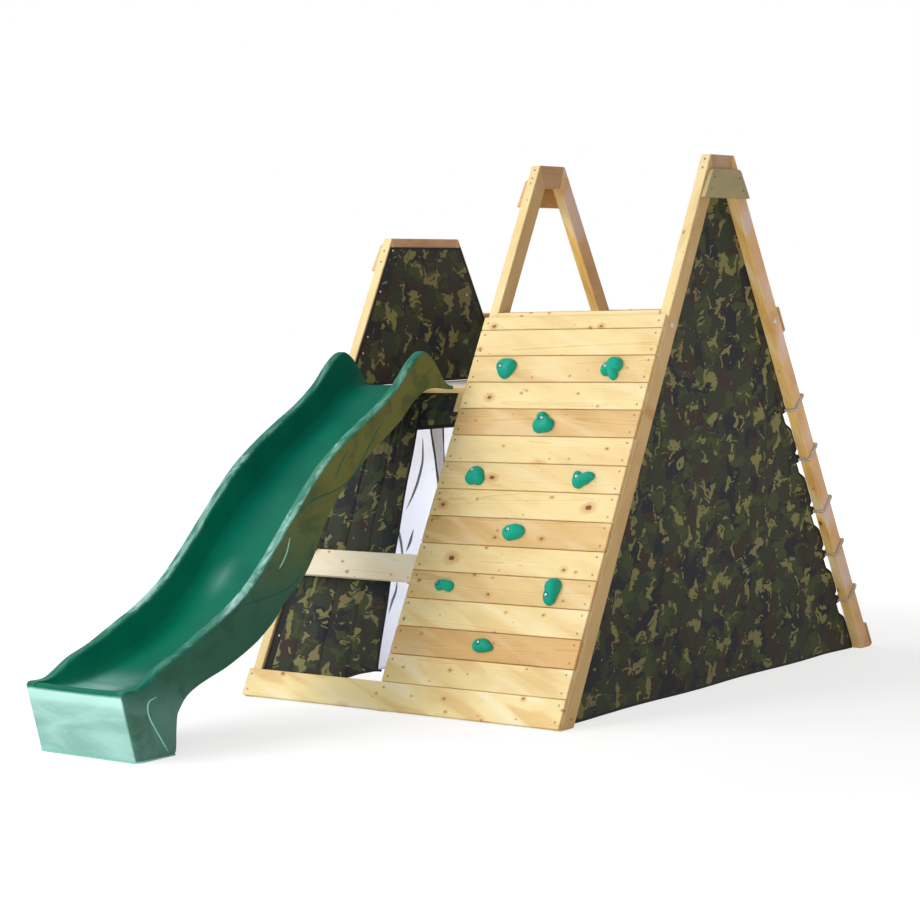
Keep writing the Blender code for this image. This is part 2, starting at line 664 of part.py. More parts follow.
def tie_heights():
    """Height of each rope where it passes the inner edge of a rear leg."""
    return [(along - LOOP_SLANT) * cos(LEG_LEAN) - LEG_DEPTH * sin(LEG_LEAN) for along in NET_ROWS]


def tie_notch(height):
    """How far the cover's rear edge draws back beside the rope ties, at a height."""
    for tie in tie_heights():
        if tie - TIE_NOTCH_BELOW < height < tie + TIE_NOTCH_ABOVE:
            return TIE_NOTCH_DEPTH
    return 0.0


def build_right_cover(front_hole):
    """The cover on the inner face of the right frame, from the plate to the ground."""
    top = TALL_HEIGHT - COVER_TOP_CLEARANCE
    plane = RIGHT_IN - GAP - CLOTH / 2
    joist_foot = DECK_TOP - DECK_BOARD_THICKNESS - LEG_DEPTH
    heights = [top + (CLOTH_HEM_LIFT - top) * k / 12 for k in range(13)]
    for tie in tie_heights():
        heights += [tie - TIE_NOTCH_BELOW - 0.012, tie - TIE_NOTCH_BELOW + 0.004]
        heights += [tie + TIE_NOTCH_ABOVE - 0.004, tie + TIE_NOTCH_ABOVE + 0.008]
    heights = sorted(heights + [joist_foot - 0.030, DECK_TOP + 0.030])

    def place(u, z):
        first = slope_y(FRONT, z, -COVER_ON_LEG)
        last = slope_y(REAR, z, -LEG_DEPTH - COVER_REAR_GAP - tie_notch(z))
        y = first + (last - first) * u
        inside = slope_y(REAR, z, -LEG_DEPTH) - abs(y)
        free = min(1.0, max(0.0, inside - 0.05) / 0.15)
        beside = max(joist_foot - 0.030 - z, z - DECK_TOP - 0.030)
        free *= min(1.0, max(0.0, beside) / 0.15)
        free *= min(1.0, (top - z) / 0.3)
        return (plane - COVER_BILLOW * free * (0.6 + 0.4 * sin(9 * y + 2 * z)), y, z), (1, 0, 0)

    cover = cloth_sheet("right_side_cover", even(16), heights, place)
    add_boolean(cover, front_hole, "DIFFERENCE")
    return cover


def build_left_cloths():
    """The screen over the deck and the den's wall under it, inside the left frame."""
    plane = LEFT_IN + GAP + CLOTH / 2
    screen_foot = DECK_TOP + SCREEN_LIFT
    screen_top = LOW_HEIGHT - SCREEN_TOP_CLEARANCE
    wall_top = DECK_TOP - DECK_BOARD_THICKNESS - 2 * GAP

    def on_frame(z, u):
        first = slope_y(FRONT, z, -CLOTH_EDGE)
        last = slope_y(REAR, z, -CLOTH_EDGE)
        y = first + (last - first) * u
        within = slope_y(REAR, z, -LEG_DEPTH) - abs(y)
        return y, min(1.0, max(0.0, within - 0.03) / 0.12)

    def screen(u, v):
        z = screen_foot + (screen_top - screen_foot) * v
        y, free = on_frame(z, u)
        free *= min(1.0, 4 * (1 - v)) * (0.3 + 0.7 * min(1.0, 3 * v))
        return (plane + 0.010 * free * (0.6 + 0.4 * sin(11 * y)), y, z), (1, 0, 0)

    def wall(u, v):
        z = CLOTH_HEM_LIFT + (wall_top - CLOTH_HEM_LIFT) * v
        y, free = on_frame(z, u)
        free *= min(1.0, max(0.0, wall_top - LEG_DEPTH - 0.06 - z) / 0.15)
        return (plane + 0.012 * free * sin(14 * y + 3 * z), y, z), (1, 0, 0)

    cloth_sheet("left_deck_screen", even(14), even(8), screen)
    cloth_sheet("left_den_wall", even(22), even(10), wall)


def den_opening_x(height):
    """x of the front panel's free edge, which is drawn back at the top."""
    top = DECK_TOP - DECK_BOARD_THICKNESS
    width = DEN_PANEL_FOOT_WIDTH + (DEN_PANEL_TOP_WIDTH - DEN_PANEL_FOOT_WIDTH) * height / top
    return LEFT_IN + width


def build_den_front():
    """The pleated panel under the slide, and the valance over the doorway beside it."""
    hung_from = DECK_TOP - DECK_BOARD_THICKNESS - 2 * GAP
    panel_top = hung_from / cos(LEG_LEAN) - 0.008
    left = LEFT_IN + CLAMPED

    def panel(u, v):
        along = DEN_PANEL_FOOT + (panel_top - DEN_PANEL_FOOT) * v
        right = den_opening_x(along * cos(LEG_LEAN))
        fold = DEN_PANEL_FOLD * sin(2 * pi * DEN_PANEL_PLEATS * u) * min(1.0, 6 * (1 - v))
        fold *= min(1.0, 8 * u) * (0.55 + 0.45 * cos(pi * v / 2))
        y, z = on_slope(FRONT, along, fold - DEN_PANEL_PLANE)
        return (left + (right - left) * u, y, z), (0, -cos(LEG_LEAN), sin(LEG_LEAN))

    cloth_sheet("front_den_panel", even(36), even(8), panel)
    joist_foot = hung_from - LEG_DEPTH
    joist_left = MIDDLE_LEFT - 2 * GAP - LEG_WIDTH
    heights = (hung_from - VALANCE_DROP, joist_foot - 0.030, joist_foot - 0.004,
               (joist_foot + hung_from) / 2, hung_from)
    rights = (MIDDLE_LEFT - GAP, MIDDLE_LEFT - GAP, joist_left, joist_left, joist_left)

    def valance(u, v):
        row = v * (len(heights) - 1)
        k = min(int(row), len(heights) - 2)
        z = heights[k] + (heights[k + 1] - heights[k]) * (row - k)
        right = rights[k] + (rights[k + 1] - rights[k]) * (row - k)
        z += 0.018 * u * (1 - v) ** 2
        first = den_opening_x(hung_from) - VALANCE_OVERLAP
        fold = VALANCE_FOLD * sin(2 * pi * 2.5 * u + 0.8) * min(1.0, 2 * (1 - v))
        y = slope_y(FRONT, z, fold - VALANCE_PLANE)
        return (first + (right - first) * u, y, z), (0, -cos(LEG_LEAN), sin(LEG_LEAN))

    cloth_sheet("doorway_valance", even(14), even(4), valance)


def sweep(bm, points, radius, sides, closed=False):
    """A round tube along points, capped at its ends unless it closes on itself."""
    count = len(points)
    points = [Vector(p) for p in points]
    rings = []
    side = None
    for k, point in enumerate(points):
        before = points[k - 1] if closed or k else point
        after = points[(k + 1) % count] if closed or k < count - 1 else point
        ahead = (after - before).normalized()
        if side is None:
            side = ahead.orthogonal().normalized()
        side = (side - ahead * side.dot(ahead)).normalized()
        up = ahead.cross(side)
        turns = [2 * pi * j / sides for j in range(sides)]
        rings.append([bm.verts.new(point + radius * (cos(a) * side + sin(a) * up)) for a in turns])
    pairs = list(zip(rings, rings[1:] + rings[:1])) if closed else list(zip(rings, rings[1:]))
    for number, (first, second) in enumerate(pairs):
        shift = best_shift(first, second) if closed and number == count - 1 else 0
        for j in range(sides):
            after = (j + 1) % sides
            bm.faces.new((
                first[j], first[after], second[(after + shift) % sides], second[(j + shift) % sides],
            ))
    if not closed:
        bm.faces.new(list(reversed(rings[0])))
        bm.faces.new(rings[-1])


def best_shift(first, second):
    """How many places to turn the second ring so that it meets the first untwisted."""
    sides = len(first)
    reach = [sum((first[j].co - second[(j + k) % sides].co).length for j in range(sides))
             for k in range(sides)]
    return reach.index(min(reach))


def leg_loop(low, high, along):
    """Points of a rope round a rear leg between two places in x, lower on its inner side."""
    clear = ROPE_RADIUS + ROPE_SLACK
    corners = (
        (high + clear, clear, 0.0), (low - clear, clear, 0.5),
        (low - clear, -LEG_DEPTH - clear, 1.0), (high + clear, -LEG_DEPTH - clear, 1.5),
    )
    points = []
    for x, out, turn in corners:
        centre_x = x - LOOP_CORNER if x > high else x + LOOP_CORNER
        centre_out = out - LOOP_CORNER if out > 0 else out + LOOP_CORNER
        for step in range(3):
            angle = pi * (turn + step / 4)
            away = centre_out + LOOP_CORNER * sin(angle)
            y, z = on_slope(REAR, along + LOOP_SLANT * away / LEG_DEPTH, away)
            points.append((centre_x + LOOP_CORNER * cos(angle), y, z))
    return points


def build_net():
    """Ropes across the rear of the right bay, tied round both legs and knotted together."""
    step = (RIGHT_IN - MIDDLE_RIGHT) / (NET_COLUMNS + 1)
    columns = [MIDDLE_RIGHT + step * (k + 1) for k in range(NET_COLUMNS)]
    out = ROPE_RADIUS + ROPE_SLACK
    slant = LOOP_SLANT * out / LEG_DEPTH
    across = bmesh.new()
    loops = bmesh.new()
    for along in NET_ROWS:
        y, z = on_slope(REAR, along + slant, out)
        ends = [(MIDDLE_RIGHT - LEG_WIDTH / 2, y, z), (RIGHT_IN + LEG_WIDTH / 2, y, z)]
        sweep(across, ends, ROPE_RADIUS * 0.96, 6)
        beside = LEG_WIDTH + CLAMPED if along == max(NET_ROWS) else 0.0
        middle = leg_loop(MIDDLE_LEFT - beside, MIDDLE_RIGHT + beside, along)
        sweep(loops, middle, ROPE_RADIUS, 6, closed=True)
        sweep(loops, leg_loop(RIGHT_IN - beside, RIGHT_OUT, along), ROPE_RADIUS, 6, closed=True)
    upright = bmesh.new()
    knots = bmesh.new()
    for x in columns:
        ends = [(x, *on_slope(REAR, NET_ROWS[0], out)), (x, *on_slope(REAR, NET_ROWS[-1], out))]
        sweep(upright, ends, ROPE_RADIUS * 0.97, 6)
        for along in NET_ROWS:
            made = bmesh.ops.create_icosphere(knots, subdivisions=1, radius=KNOT_RADIUS)["verts"]
            bmesh.ops.translate(knots, verts=made, vec=(x, *on_slope(REAR, along + slant, out)))
    net = add_object("rope_net", across, ROPE, smooth=True)
    for name, bm in (("net_loops", loops), ("net_uprights", upright), ("net_knots", knots)):
        add_boolean(net, hide_helper(add_object(name, bm, ROPE)), "UNION")
    return net


def centre_footprint():
    """Puts the middle of the footprint, at the ground, on the origin."""
    bpy.context.view_layer.update()
    graph = bpy.context.evaluated_depsgraph_get()
    shown = [o for o in bpy.context.scene.objects if o.type == "MESH" and not o.hide_render]
    corners = np.array([
        tuple(o.matrix_world @ Vector(corner))
        for o in shown for corner in o.evaluated_get(graph).bound_box
    ])
    low, high = corners.min(axis=0), corners.max(axis=0)
    root = bpy.data.objects.new("climbing_frame", None)
    bpy.context.scene.collection.objects.link(root)
    for item in list(bpy.context.scene.objects):
        if item is not root:
            item.parent = root
    root.location = (-(low[0] + high[0]) / 2, -(low[1] + high[1]) / 2, -low[2])


def main():
    clear_scene()
    legs = build_frames()
    build_boards()
    front_hole = build_rails(legs)
    build_deck()
    build_slide()
    build_holds()
    build_right_cover(front_hole)
    build_left_cloths()
    build_den_front()
    build_net()
    centre_footprint()


main()
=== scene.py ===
"""A climbing frame with a slide, a board climbing wall, a cloth den and a rope net."""

import logging
import math
from dataclasses import dataclass, field, replace
from enum import Enum
from typing import Any, Callable, Sequence

import bmesh
import bpy
from mathutils import Matrix, Vector, noise


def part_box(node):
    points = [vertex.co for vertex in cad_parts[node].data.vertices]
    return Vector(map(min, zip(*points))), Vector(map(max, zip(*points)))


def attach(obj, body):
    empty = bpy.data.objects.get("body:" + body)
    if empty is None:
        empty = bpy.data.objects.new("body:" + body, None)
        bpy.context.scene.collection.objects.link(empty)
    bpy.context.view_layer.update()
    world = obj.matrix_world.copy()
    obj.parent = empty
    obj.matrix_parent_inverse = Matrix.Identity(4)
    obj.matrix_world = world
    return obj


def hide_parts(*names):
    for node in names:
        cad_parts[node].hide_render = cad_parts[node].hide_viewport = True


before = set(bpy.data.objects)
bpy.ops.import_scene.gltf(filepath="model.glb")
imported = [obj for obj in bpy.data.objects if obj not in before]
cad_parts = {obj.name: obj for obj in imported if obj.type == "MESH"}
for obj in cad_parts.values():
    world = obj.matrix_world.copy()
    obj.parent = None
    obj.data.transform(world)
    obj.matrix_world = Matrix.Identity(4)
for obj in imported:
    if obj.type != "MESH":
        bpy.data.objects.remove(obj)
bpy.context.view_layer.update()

LOG = logging.getLogger("climbing_frame")
Mesh = bmesh.types.BMesh
Piece = bpy.types.Object
Material = bpy.types.Material
Colour = tuple[float, float, float, float]
Spot = tuple[float, float]
Triple = tuple[float, float, float]
Facing = tuple[Vector, Vector]
Line = tuple[Spot, ...]
Place = Callable[[float, float], Vector]
Chart = Callable[[Vector], Spot]
BODY = "root"
MILLIMETRES = 1000.0


def srgb(red: float, green: float, blue: float) -> Colour:
    """A colour given as seen on a screen, 0 to 255, as the shader's linear values."""
    def one(value: float) -> float:
        """One channel."""
        share = value / 255
        return share / 12.92 if share < 0.04045 else ((share + 0.055) / 1.055) ** 2.4
    return one(red), one(green), one(blue), 1.0


def clamp(value: float) -> float:
    """The value, or the nearer end of 0 to 1 where it lies outside."""
    return min(1.0, max(0.0, value))


def smooth(low: float, high: float, value: float) -> float:
    """0 below low, 1 above high, and an S-curve between them."""
    share = clamp((value - low) / (high - low))
    return share * share * (3 - 2 * share)


def hump(value: float, start: float, full: float, fade: float, end: float) -> float:
    """1 between full and fade, and 0 before start and past end."""
    return smooth(start, full, value) * (1 - smooth(fade, end, value))


class Side(Enum):
    """The two slanted sides of the frame."""

    FRONT = -1
    REAR = 1


class Slot(Enum):
    """The record's finishes, named with each new piece, though no piece takes its finish from
    them.
    """

    CLOTH = "camouflage_cloth"
    SLIDE = "slide_green"
    HOLD = "hold_green"
    ROPE = "rope_grey"
    ZINC = "bolt_zinc"


class Axis(Enum):
    """What a timber lies along."""

    ACROSS = "across"
    FRONT_SLOPE = "front_slope"
    REAR_SLOPE = "rear_slope"
    DEPTH = "depth"


@dataclass(frozen=True)
class Sizes:
    """Sizes and places of the timbers that other pieces are fitted to, in metres."""

    leg_depth: float = 0.063
    board_width: float = 0.097
    half_board_width: float = 0.0485
    board_thickness: float = 0.018
    board_pitch: float = 0.100
    board_count: int = 14
    deck_top: float = 1.050
    left_leg: Spot = (-0.671, -0.633)
    middle_leg: Spot = (-0.079, -0.041)
    right_leg: Spot = (0.633, 0.671)
    # Distances up the rear legs' outer face at which the net is tied, and how far each
    # tie drops on its way to the inner face
    ties: tuple[float, ...] = (0.277, 0.481, 0.672, 0.897, 1.105)
    tie_drop: float = 0.018

    @staticmethod
    def middle(leg: Spot) -> float:
        """The x of a leg's middle, from the x of its two sides."""
        return sum(leg) / 2


@dataclass(frozen=True)
class Slope:
    """The lean of the legs, and places on their outer faces, in the row frame."""

    shift: float
    depth: float = 2.06
    height: float = 1.83
    apex: float = 0.1547

    @property
    def lean(self) -> float:
        """The angle of a leg from upright."""
        return math.atan2((self.depth - self.apex) / 2, self.height)

    def point(self, side: Side, along: float, out: float, x: float = 0.0) -> Vector:
        """A place on a side.

        Args:
            side: Front or rear.
            along: Distance up the legs' outer face from the ground.
            out: Distance out from that face.
            x: Place across the frame.

        Returns:
            The point in the row frame.
        """
        y = self.depth / 2 - along * math.sin(self.lean) + out * math.cos(self.lean)
        z = along * math.cos(self.lean) + out * math.sin(self.lean)
        return Vector((x, self.shift + side.value * y, z))

    def y_at(self, side: Side, z: float, out: float) -> float:
        """The y of a plane that lies out from the legs' outer face, at a height."""
        reach = self.depth / 2 - z * math.tan(self.lean) + out / math.cos(self.lean)
        return self.shift + side.value * reach

    def within(self, z: float, y: float) -> float:
        """How far a place lies inside the legs' inner faces, at a height."""
        inner = self.y_at(Side.REAR, z, -SIZES.leg_depth)
        return inner - self.shift - abs(y - self.shift)

    def upward(self, side: Side) -> Vector:
        """The direction up a side."""
        return Vector((0, -side.value * math.sin(self.lean), math.cos(self.lean)))

    def outward(self, side: Side) -> Vector:
        """The direction out from a side's outer face."""
        return Vector((0, side.value * math.cos(self.lean), math.sin(self.lean)))


SIZES = Sizes()
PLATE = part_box("right_apex_plate")
SLOPE = Slope(shift=(PLATE[0].y + PLATE[1].y) / 2)
RIGHT = Vector((1, 0, 0))
FRONT_UP, FRONT_OUT = SLOPE.upward(Side.FRONT), SLOPE.outward(Side.FRONT)


class Value:
    """A socket of a shader, on which Python's arithmetic adds Math nodes."""

    def __init__(self, graph: "Graph", socket: bpy.types.NodeSocket) -> None:
        """Keeps the socket and the graph that it is in."""
        self.graph = graph
        self.socket = socket

    def math(self, operation: str, *others: Any) -> "Value":
        """A Math node on this value and others."""
        return self.graph.math(operation, self, *others)

    def __add__(self, other: Any) -> "Value":
        """The sum."""
        return self.math("ADD", other)

    __radd__ = __add__

    def __sub__(self, other: Any) -> "Value":
        """The difference."""
        return self.math("SUBTRACT", other)

    def __rsub__(self, other: Any) -> "Value":
        """The difference, reflected."""
        return self.graph.math("SUBTRACT", other, self)

    def __mul__(self, other: Any) -> "Value":
        """The product."""
        return self.math("MULTIPLY", other)

    __rmul__ = __mul__

    def __truediv__(self, other: Any) -> "Value":
        """The quotient."""
        return self.math("DIVIDE", other)

    def __rtruediv__(self, other: Any) -> "Value":
        """The quotient, reflected."""
        return self.graph.math("DIVIDE", other, self)

    def __pow__(self, other: Any) -> "Value":
        """The power."""
        return self.math("POWER", other)

    def __gt__(self, other: Any) -> "Value":
        """1 where this is greater, and 0 elsewhere."""
        return self.math("GREATER_THAN", other)

    def step(self, low: float, high: float) -> "Value":
        """A smooth rise from 0 at low to 1 at high, or a fall where low is the greater."""
        return self.graph.node(
            "ShaderNodeMapRange",
            {"interpolation_type": "SMOOTHSTEP"},
            {"Value": self, "From Min": low, "From Max": high},
        )


class Graph:
    """The node tree of a material or of the world."""

    def __init__(self, owner: Material | bpy.types.World, output: str) -> None:
        """Empties the tree and gives it its output.

        Args:
            owner: The material or the world.
            output: The type of the output node.
        """
        owner.use_nodes = True
        self.owner = owner
        self.tree = owner.node_tree
        self.tree.nodes.clear()
        self.output = self.tree.nodes.new(output)

    @classmethod
    def start(cls, name: str) -> "Graph":
        """Starts a material of this name."""
        return cls(bpy.data.materials.new(name), "ShaderNodeOutputMaterial")

    def close(self, shader: Value) -> bpy.types.ID:
        """Ends the tree with a shader, and returns what owns the tree."""
        self.tree.links.new(shader.socket, self.output.inputs[0])
        return self.owner

    def node(
        self, kind: str, settings: dict[str, Any] | None = None,
        inputs: dict[Any, Any] | None = None, output: Any = 0,
    ) -> Value:
        """Adds a node.

        Args:
            kind: Its type.
            settings: Its properties, set before its sockets.
            inputs: Numbers, colours or values for its sockets, by name or place.
            output: The name or place of the socket that is returned.

        Returns:
            That output socket.
        """
        made = self.tree.nodes.new(kind)
        for key, value in (settings or {}).items():
            setattr(made, key, value)
        for key, value in (inputs or {}).items():
            if isinstance(value, Value):
                self.tree.links.new(value.socket, made.inputs[key])
            else:
                made.inputs[key].default_value = value
        return Value(self, made.outputs[output])

    def mix(self, share: Any, first: Any, second: Any, blend: str = "MIX") -> Value:
        """Mixes two colours.

        Args:
            share: How much of the second colour.
            first: A colour or a value.
            second: A colour or a value.
            blend: The Mix node's blend type.

        Returns:
            The mixed colour.
        """
        return self.node(
            "ShaderNodeMix", {"data_type": "RGBA", "blend_type": blend},
            {0: share, 6: first, 7: second}, 2,
        )

    def math(self, operation: str, *operands: Any) -> Value:
        """A Math node on these operands."""
        return self.node("ShaderNodeMath", {"operation": operation}, dict(enumerate(operands)))

    def vector(self, operation: str, *operands: Any, output: Any = 0) -> Value:
        """A Vector Math node on these operands."""
        return self.node(
            "ShaderNodeVectorMath", {"operation": operation}, dict(enumerate(operands)), output
        )

    def noise(self, at: Value, scale: float | Triple, detail: float = 2.0,
              rough: float = 0.5, warp: float = 0.0, output: Any = 0) -> Value:
        """A noise texture.

        Args:
            at: Where it is read.
            scale: Cells to the metre, or as many along each axis.
            detail: Octaves.
            rough: How strong the finer octaves are.
            warp: Distortion.
            output: Its value or its colour.

        Returns:
            The texture's output.
        """
        if isinstance(scale, tuple):
            at, scale = self.vector("MULTIPLY", at, scale), 1.0
        return self.node(
            "ShaderNodeTexNoise", {},
            {"Vector": at, "Scale": scale, "Detail": detail, "Roughness": rough,
             "Distortion": warp}, output,
        )

    def part(self, vector: Value) -> list[Value]:
        """The three components of a vector."""
        made = self.node("ShaderNodeSeparateXYZ", {}, {0: vector}).socket.node
        return [Value(self, socket) for socket in made.outputs]

    def join(self, x: Any, y: Any, z: Any) -> Value:
        """A vector of three components."""
        return self.node("ShaderNodeCombineXYZ", {}, {0: x, 1: y, 2: z})

    def coordinates(self, kind: str = "Object") -> Value:
        """The coordinates of a kind."""
        return self.node("ShaderNodeTexCoord", {}, {}, kind)

    def surface(self, colour: Value, rough: Value, relief: tuple[Value, float, float],
                gloss: float = 0.5, metallic: float = 0.0) -> Material:
        """Ends the material with a Principled shader.

        Args:
            colour: Its base colour.
            rough: Its roughness.
            relief: A height map, its depth in metres, and its strength.
            gloss: Its specular level.
            metallic: How metallic it is.

        Returns:
            The material.
        """
        height, distance, strength = relief
        normal = self.node("ShaderNodeBump", {}, {
            "Height": height, "Distance": distance, "Strength": strength})
        return self.close(self.node("ShaderNodeBsdfPrincipled", {}, {
            "Base Color": colour, "Roughness": rough, "Metallic": metallic,
            "Specular IOR Level": gloss, "Normal": normal}))

    def seen(self) -> Value:
        """1 for rays that show the background by eye, in gloss or through glass, else 0."""
        found = self.node("ShaderNodeLightPath", {}, {}, "Is Camera Ray")
        outputs = found.socket.node.outputs
        for ray in ("Is Glossy Ray", "Is Transmission Ray"):
            found = found.math("MAXIMUM", Value(self, outputs[ray]))
        return found


def between(first: Colour, second: Colour, share: float) -> Colour:
    """The colour a share of the way from the first to the second."""
    return tuple(a + (b - a) * share for a, b in zip(first, second))


@dataclass(frozen=True)
class PlanedPine:
    """Planed softwood: rings about a pith line, fibres, clouds, knots, and painted sheen, side
    shade and top light.
    """

    early: Colour
    late: Colour
    dark: Colour = srgb(122, 76, 40)
    stain: Colour = srgb(206, 144, 82)
    # The colour of the painted sheen's bright bands
    sheen_highlight: Colour = srgb(253, 238, 200)
    # The tint that faces looking along x are multiplied by: painted shade on the legs' sides
    flank: Colour = (0.86, 0.72, 0.66, 1.0)
    # A whitish colour laid on upward faces: painted light on the deck's lit top
    painted_top_light: Colour | None = None
    pins: float = 0.40
    pin_size: float = 0.40
    ring: float = 0.0046
    ring_strength: float = 0.42
    cloud: float = 0.30
    knots: float = 0.50
    # How strong the painted satin sheen is: bright and dark bands in place of light glancing off
    # the grain
    painted_sheen: float = 0.24
    rough: float = 0.55
    gloss: float = 0.28
    grain_depth: float = 0.00035
    # Cells that hold one knot or one pin knot at most, along and across the grain
    knot_cell: Spot = (0.15, 0.06)
    pin_cell: Spot = (0.075, 0.033)
    # A knot's least radius and how much more it may have, and how many rings it bends
    knot_radius: Spot = (0.0024, 0.0075)
    knot_stretch: float = 0.72
    knot_wobble: float = 0.003
    knot_bend: float = 1.7
    # How far the pith line lies off the face's middle, and behind the face, over all pieces
    pith_spread: float = 0.10
    pith_behind: Spot = (0.018, 0.05)
    # Cells to the metre along, across and into the wood
    sway_cells: Triple = (2.2, 7.0, 7.0)
    fibre_cells: Triple = (14.0, 620.0, 620.0)
    cloud_cells: Triple = (3.6, 9.0, 9.0)

    def dress(self, target: Piece, axis: Axis, seed: int) -> Material:
        """Gives a timber its own piece of this wood.

        Args:
            target: The timber.
            axis: What it lies along.
            seed: Which piece of the wood it is cut from.

        Returns:
            The material.
        """
        graph = Graph.start("wood_" + target.name)
        local = self._local(graph, target, axis, seed)
        x, y, z = graph.part(local)
        knot, halo, bulge = self._knots(graph, x, y, self.knot_cell, self.knots * 0.42, 1.0)
        pin, pin_halo, _ = self._knots(
            graph, x + 7.31, y + 0.317, self.pin_cell, self.knots * self.pins, self.pin_size)
        sway = graph.noise(local, self.sway_cells)
        drift = graph.noise(graph.join(x * 0.9, seed * 3.1, 0.0), 1.0, 1.0) - 0.5
        off_y = ((seed * 0.37) % 1.0 - 0.5) * self.pith_spread
        off_z = self.pith_behind[0] + self.pith_behind[1] * ((seed * 0.73) % 1.0)
        radius = ((y - off_y + drift * 0.11) ** 2 + (z - off_z) ** 2) ** 0.5
        rings = radius / self.ring + sway * 3.2 + bulge
        share = rings.math("FRACT")
        late = share ** 4.0 * (1 - share.step(0.94, 1.0))
        fibre = graph.noise(local, self.fibre_cells, 2.0, 0.6)
        cloud = graph.noise(local, self.cloud_cells, 3.0, 0.55, 0.6)
        sheen = graph.noise(
            graph.join(x * 5.5 + y * 12.0, y * 6.0, z * 6.0 + seed), 1.0, 1.5, 0.5, 0.5)
        wide = (late * self.ring_strength + cloud.step(0.35, 0.75) * self.cloud
                + fibre * 0.16 - 0.06 + (halo + pin_halo) * 0.25)
        tone = graph.mix(wide.step(0.0, 1.0), self.early, self.late)
        # Painted sheen: bright bands, and darker bands towards the late wood, stand in for light
        # shimmering on the grain
        tone = graph.mix(sheen.step(0.50, 0.66) * self.painted_sheen, tone, self.sheen_highlight)
        tone = graph.mix(sheen.step(0.46, 0.34) * self.painted_sheen * 0.75, tone, self.late)
        tone = graph.mix(halo.math("MAXIMUM", pin_halo) * 0.42, tone, self.stain)
        tone = graph.mix(knot.math("MAXIMUM", pin), tone, self.dark)
        # Painted shade: faces that look along x, such as the legs' sides, are multiplied by the
        # flank tint in place of the lesser light on them
        facing, _, up = graph.part(graph.coordinates("Normal"))
        tone = graph.mix(facing.math("ABSOLUTE").step(0.6, 0.9), tone,
                         graph.mix(1.0, tone, self.flank, "MULTIPLY"))
        # Painted light: upward faces are whitened towards the colour of the deck's lit top
        if self.painted_top_light:
            tone = graph.mix(up.step(0.6, 0.9) * 0.85, tone, self.painted_top_light)
        rough = self.rough - 0.10 * late + 0.12 * fibre
        relief = (late * 0.6 + fibre * 0.4, self.grain_depth, 0.7)
        return graph.surface(tone, rough, relief, self.gloss)

    def _local(self, graph: Graph, target: Piece, axis: Axis, seed: int) -> Value:
        """Coordinates along, across and into a timber.

        Args:
            graph: The material's graph.
            target: The timber.
            axis: What it lies along.
            seed: Which piece of the wood it is cut from.

        Returns:
            Metres from the timber's middle, moved on along the grain by the seed.
        """
        corners = [vertex.co for vertex in target.data.vertices]
        middle = sum(corners, Vector()) / len(corners)
        if axis is Axis.ACROSS:
            frame_axes = (RIGHT, FRONT_UP, FRONT_OUT)
        elif axis is Axis.DEPTH:
            frame_axes = (Vector((0, 1, 0)), -RIGHT, Vector((0, 0, 1)))
        else:
            side = Side.FRONT if axis is Axis.FRONT_SLOPE else Side.REAR
            up, out = SLOPE.upward(side), SLOPE.outward(side)
            frame_axes = (up, out.cross(up), out)
        turned = Matrix(frame_axes).transposed().to_euler()
        at = graph.node(
            "ShaderNodeMapping", {"vector_type": "TEXTURE"},
            {"Vector": graph.coordinates(), "Location": middle, "Rotation": turned},
        )
        return graph.vector("ADD", at, (seed * 4.37, 0.0, 0.0))

    def _knots(self, graph: Graph, x: Value, y: Value, cell: tuple[float, float], share: float,
               grow: float) -> tuple[Value, Value, Value]:
        """Round knots scattered over the face.

        Args:
            graph: The material's graph.
            x: Distance along the grain.
            y: Distance across the grain.
            cell: The size of the cells that hold one knot at most.
            share: How many of the cells have one.
            grow: How large they are.

        Returns:
            Where a knot is, the stained wood round it, and how far it bends the rings.
        """
        at = graph.join(x / cell[0], y / cell[1], 0.0)
        cells = graph.node(
            "ShaderNodeTexVoronoi", {"voronoi_dimensions": "2D"}, {"Vector": at, "Scale": 1.0}, 2
        )
        colour = Value(graph, cells.socket.node.outputs[1])
        off_x, off_y, _ = graph.part(graph.vector("SUBTRACT", cells, at))
        wobble = graph.noise(graph.join(x * 60.0, y * 60.0, 0.0), 1.0, 1.0) - 0.5
        gap = (((off_x * cell[0] * self.knot_stretch) ** 2 + (off_y * cell[1]) ** 2) ** 0.5
               + wobble * self.knot_wobble * grow)
        chance, size, _ = graph.part(colour)
        present = chance > 1 - share
        least, more = self.knot_radius
        near = gap / ((size ** 3.0 * more + least) * grow)
        knot = (1 - near.step(0.75, 1.05)) * present * (0.55 + 0.45 * size)
        halo = (1 - near.step(0.9, 3.6)) * present
        bulge = (near * near * -0.22).math("EXPONENT") * present * self.knot_bend
        return knot, halo, bulge


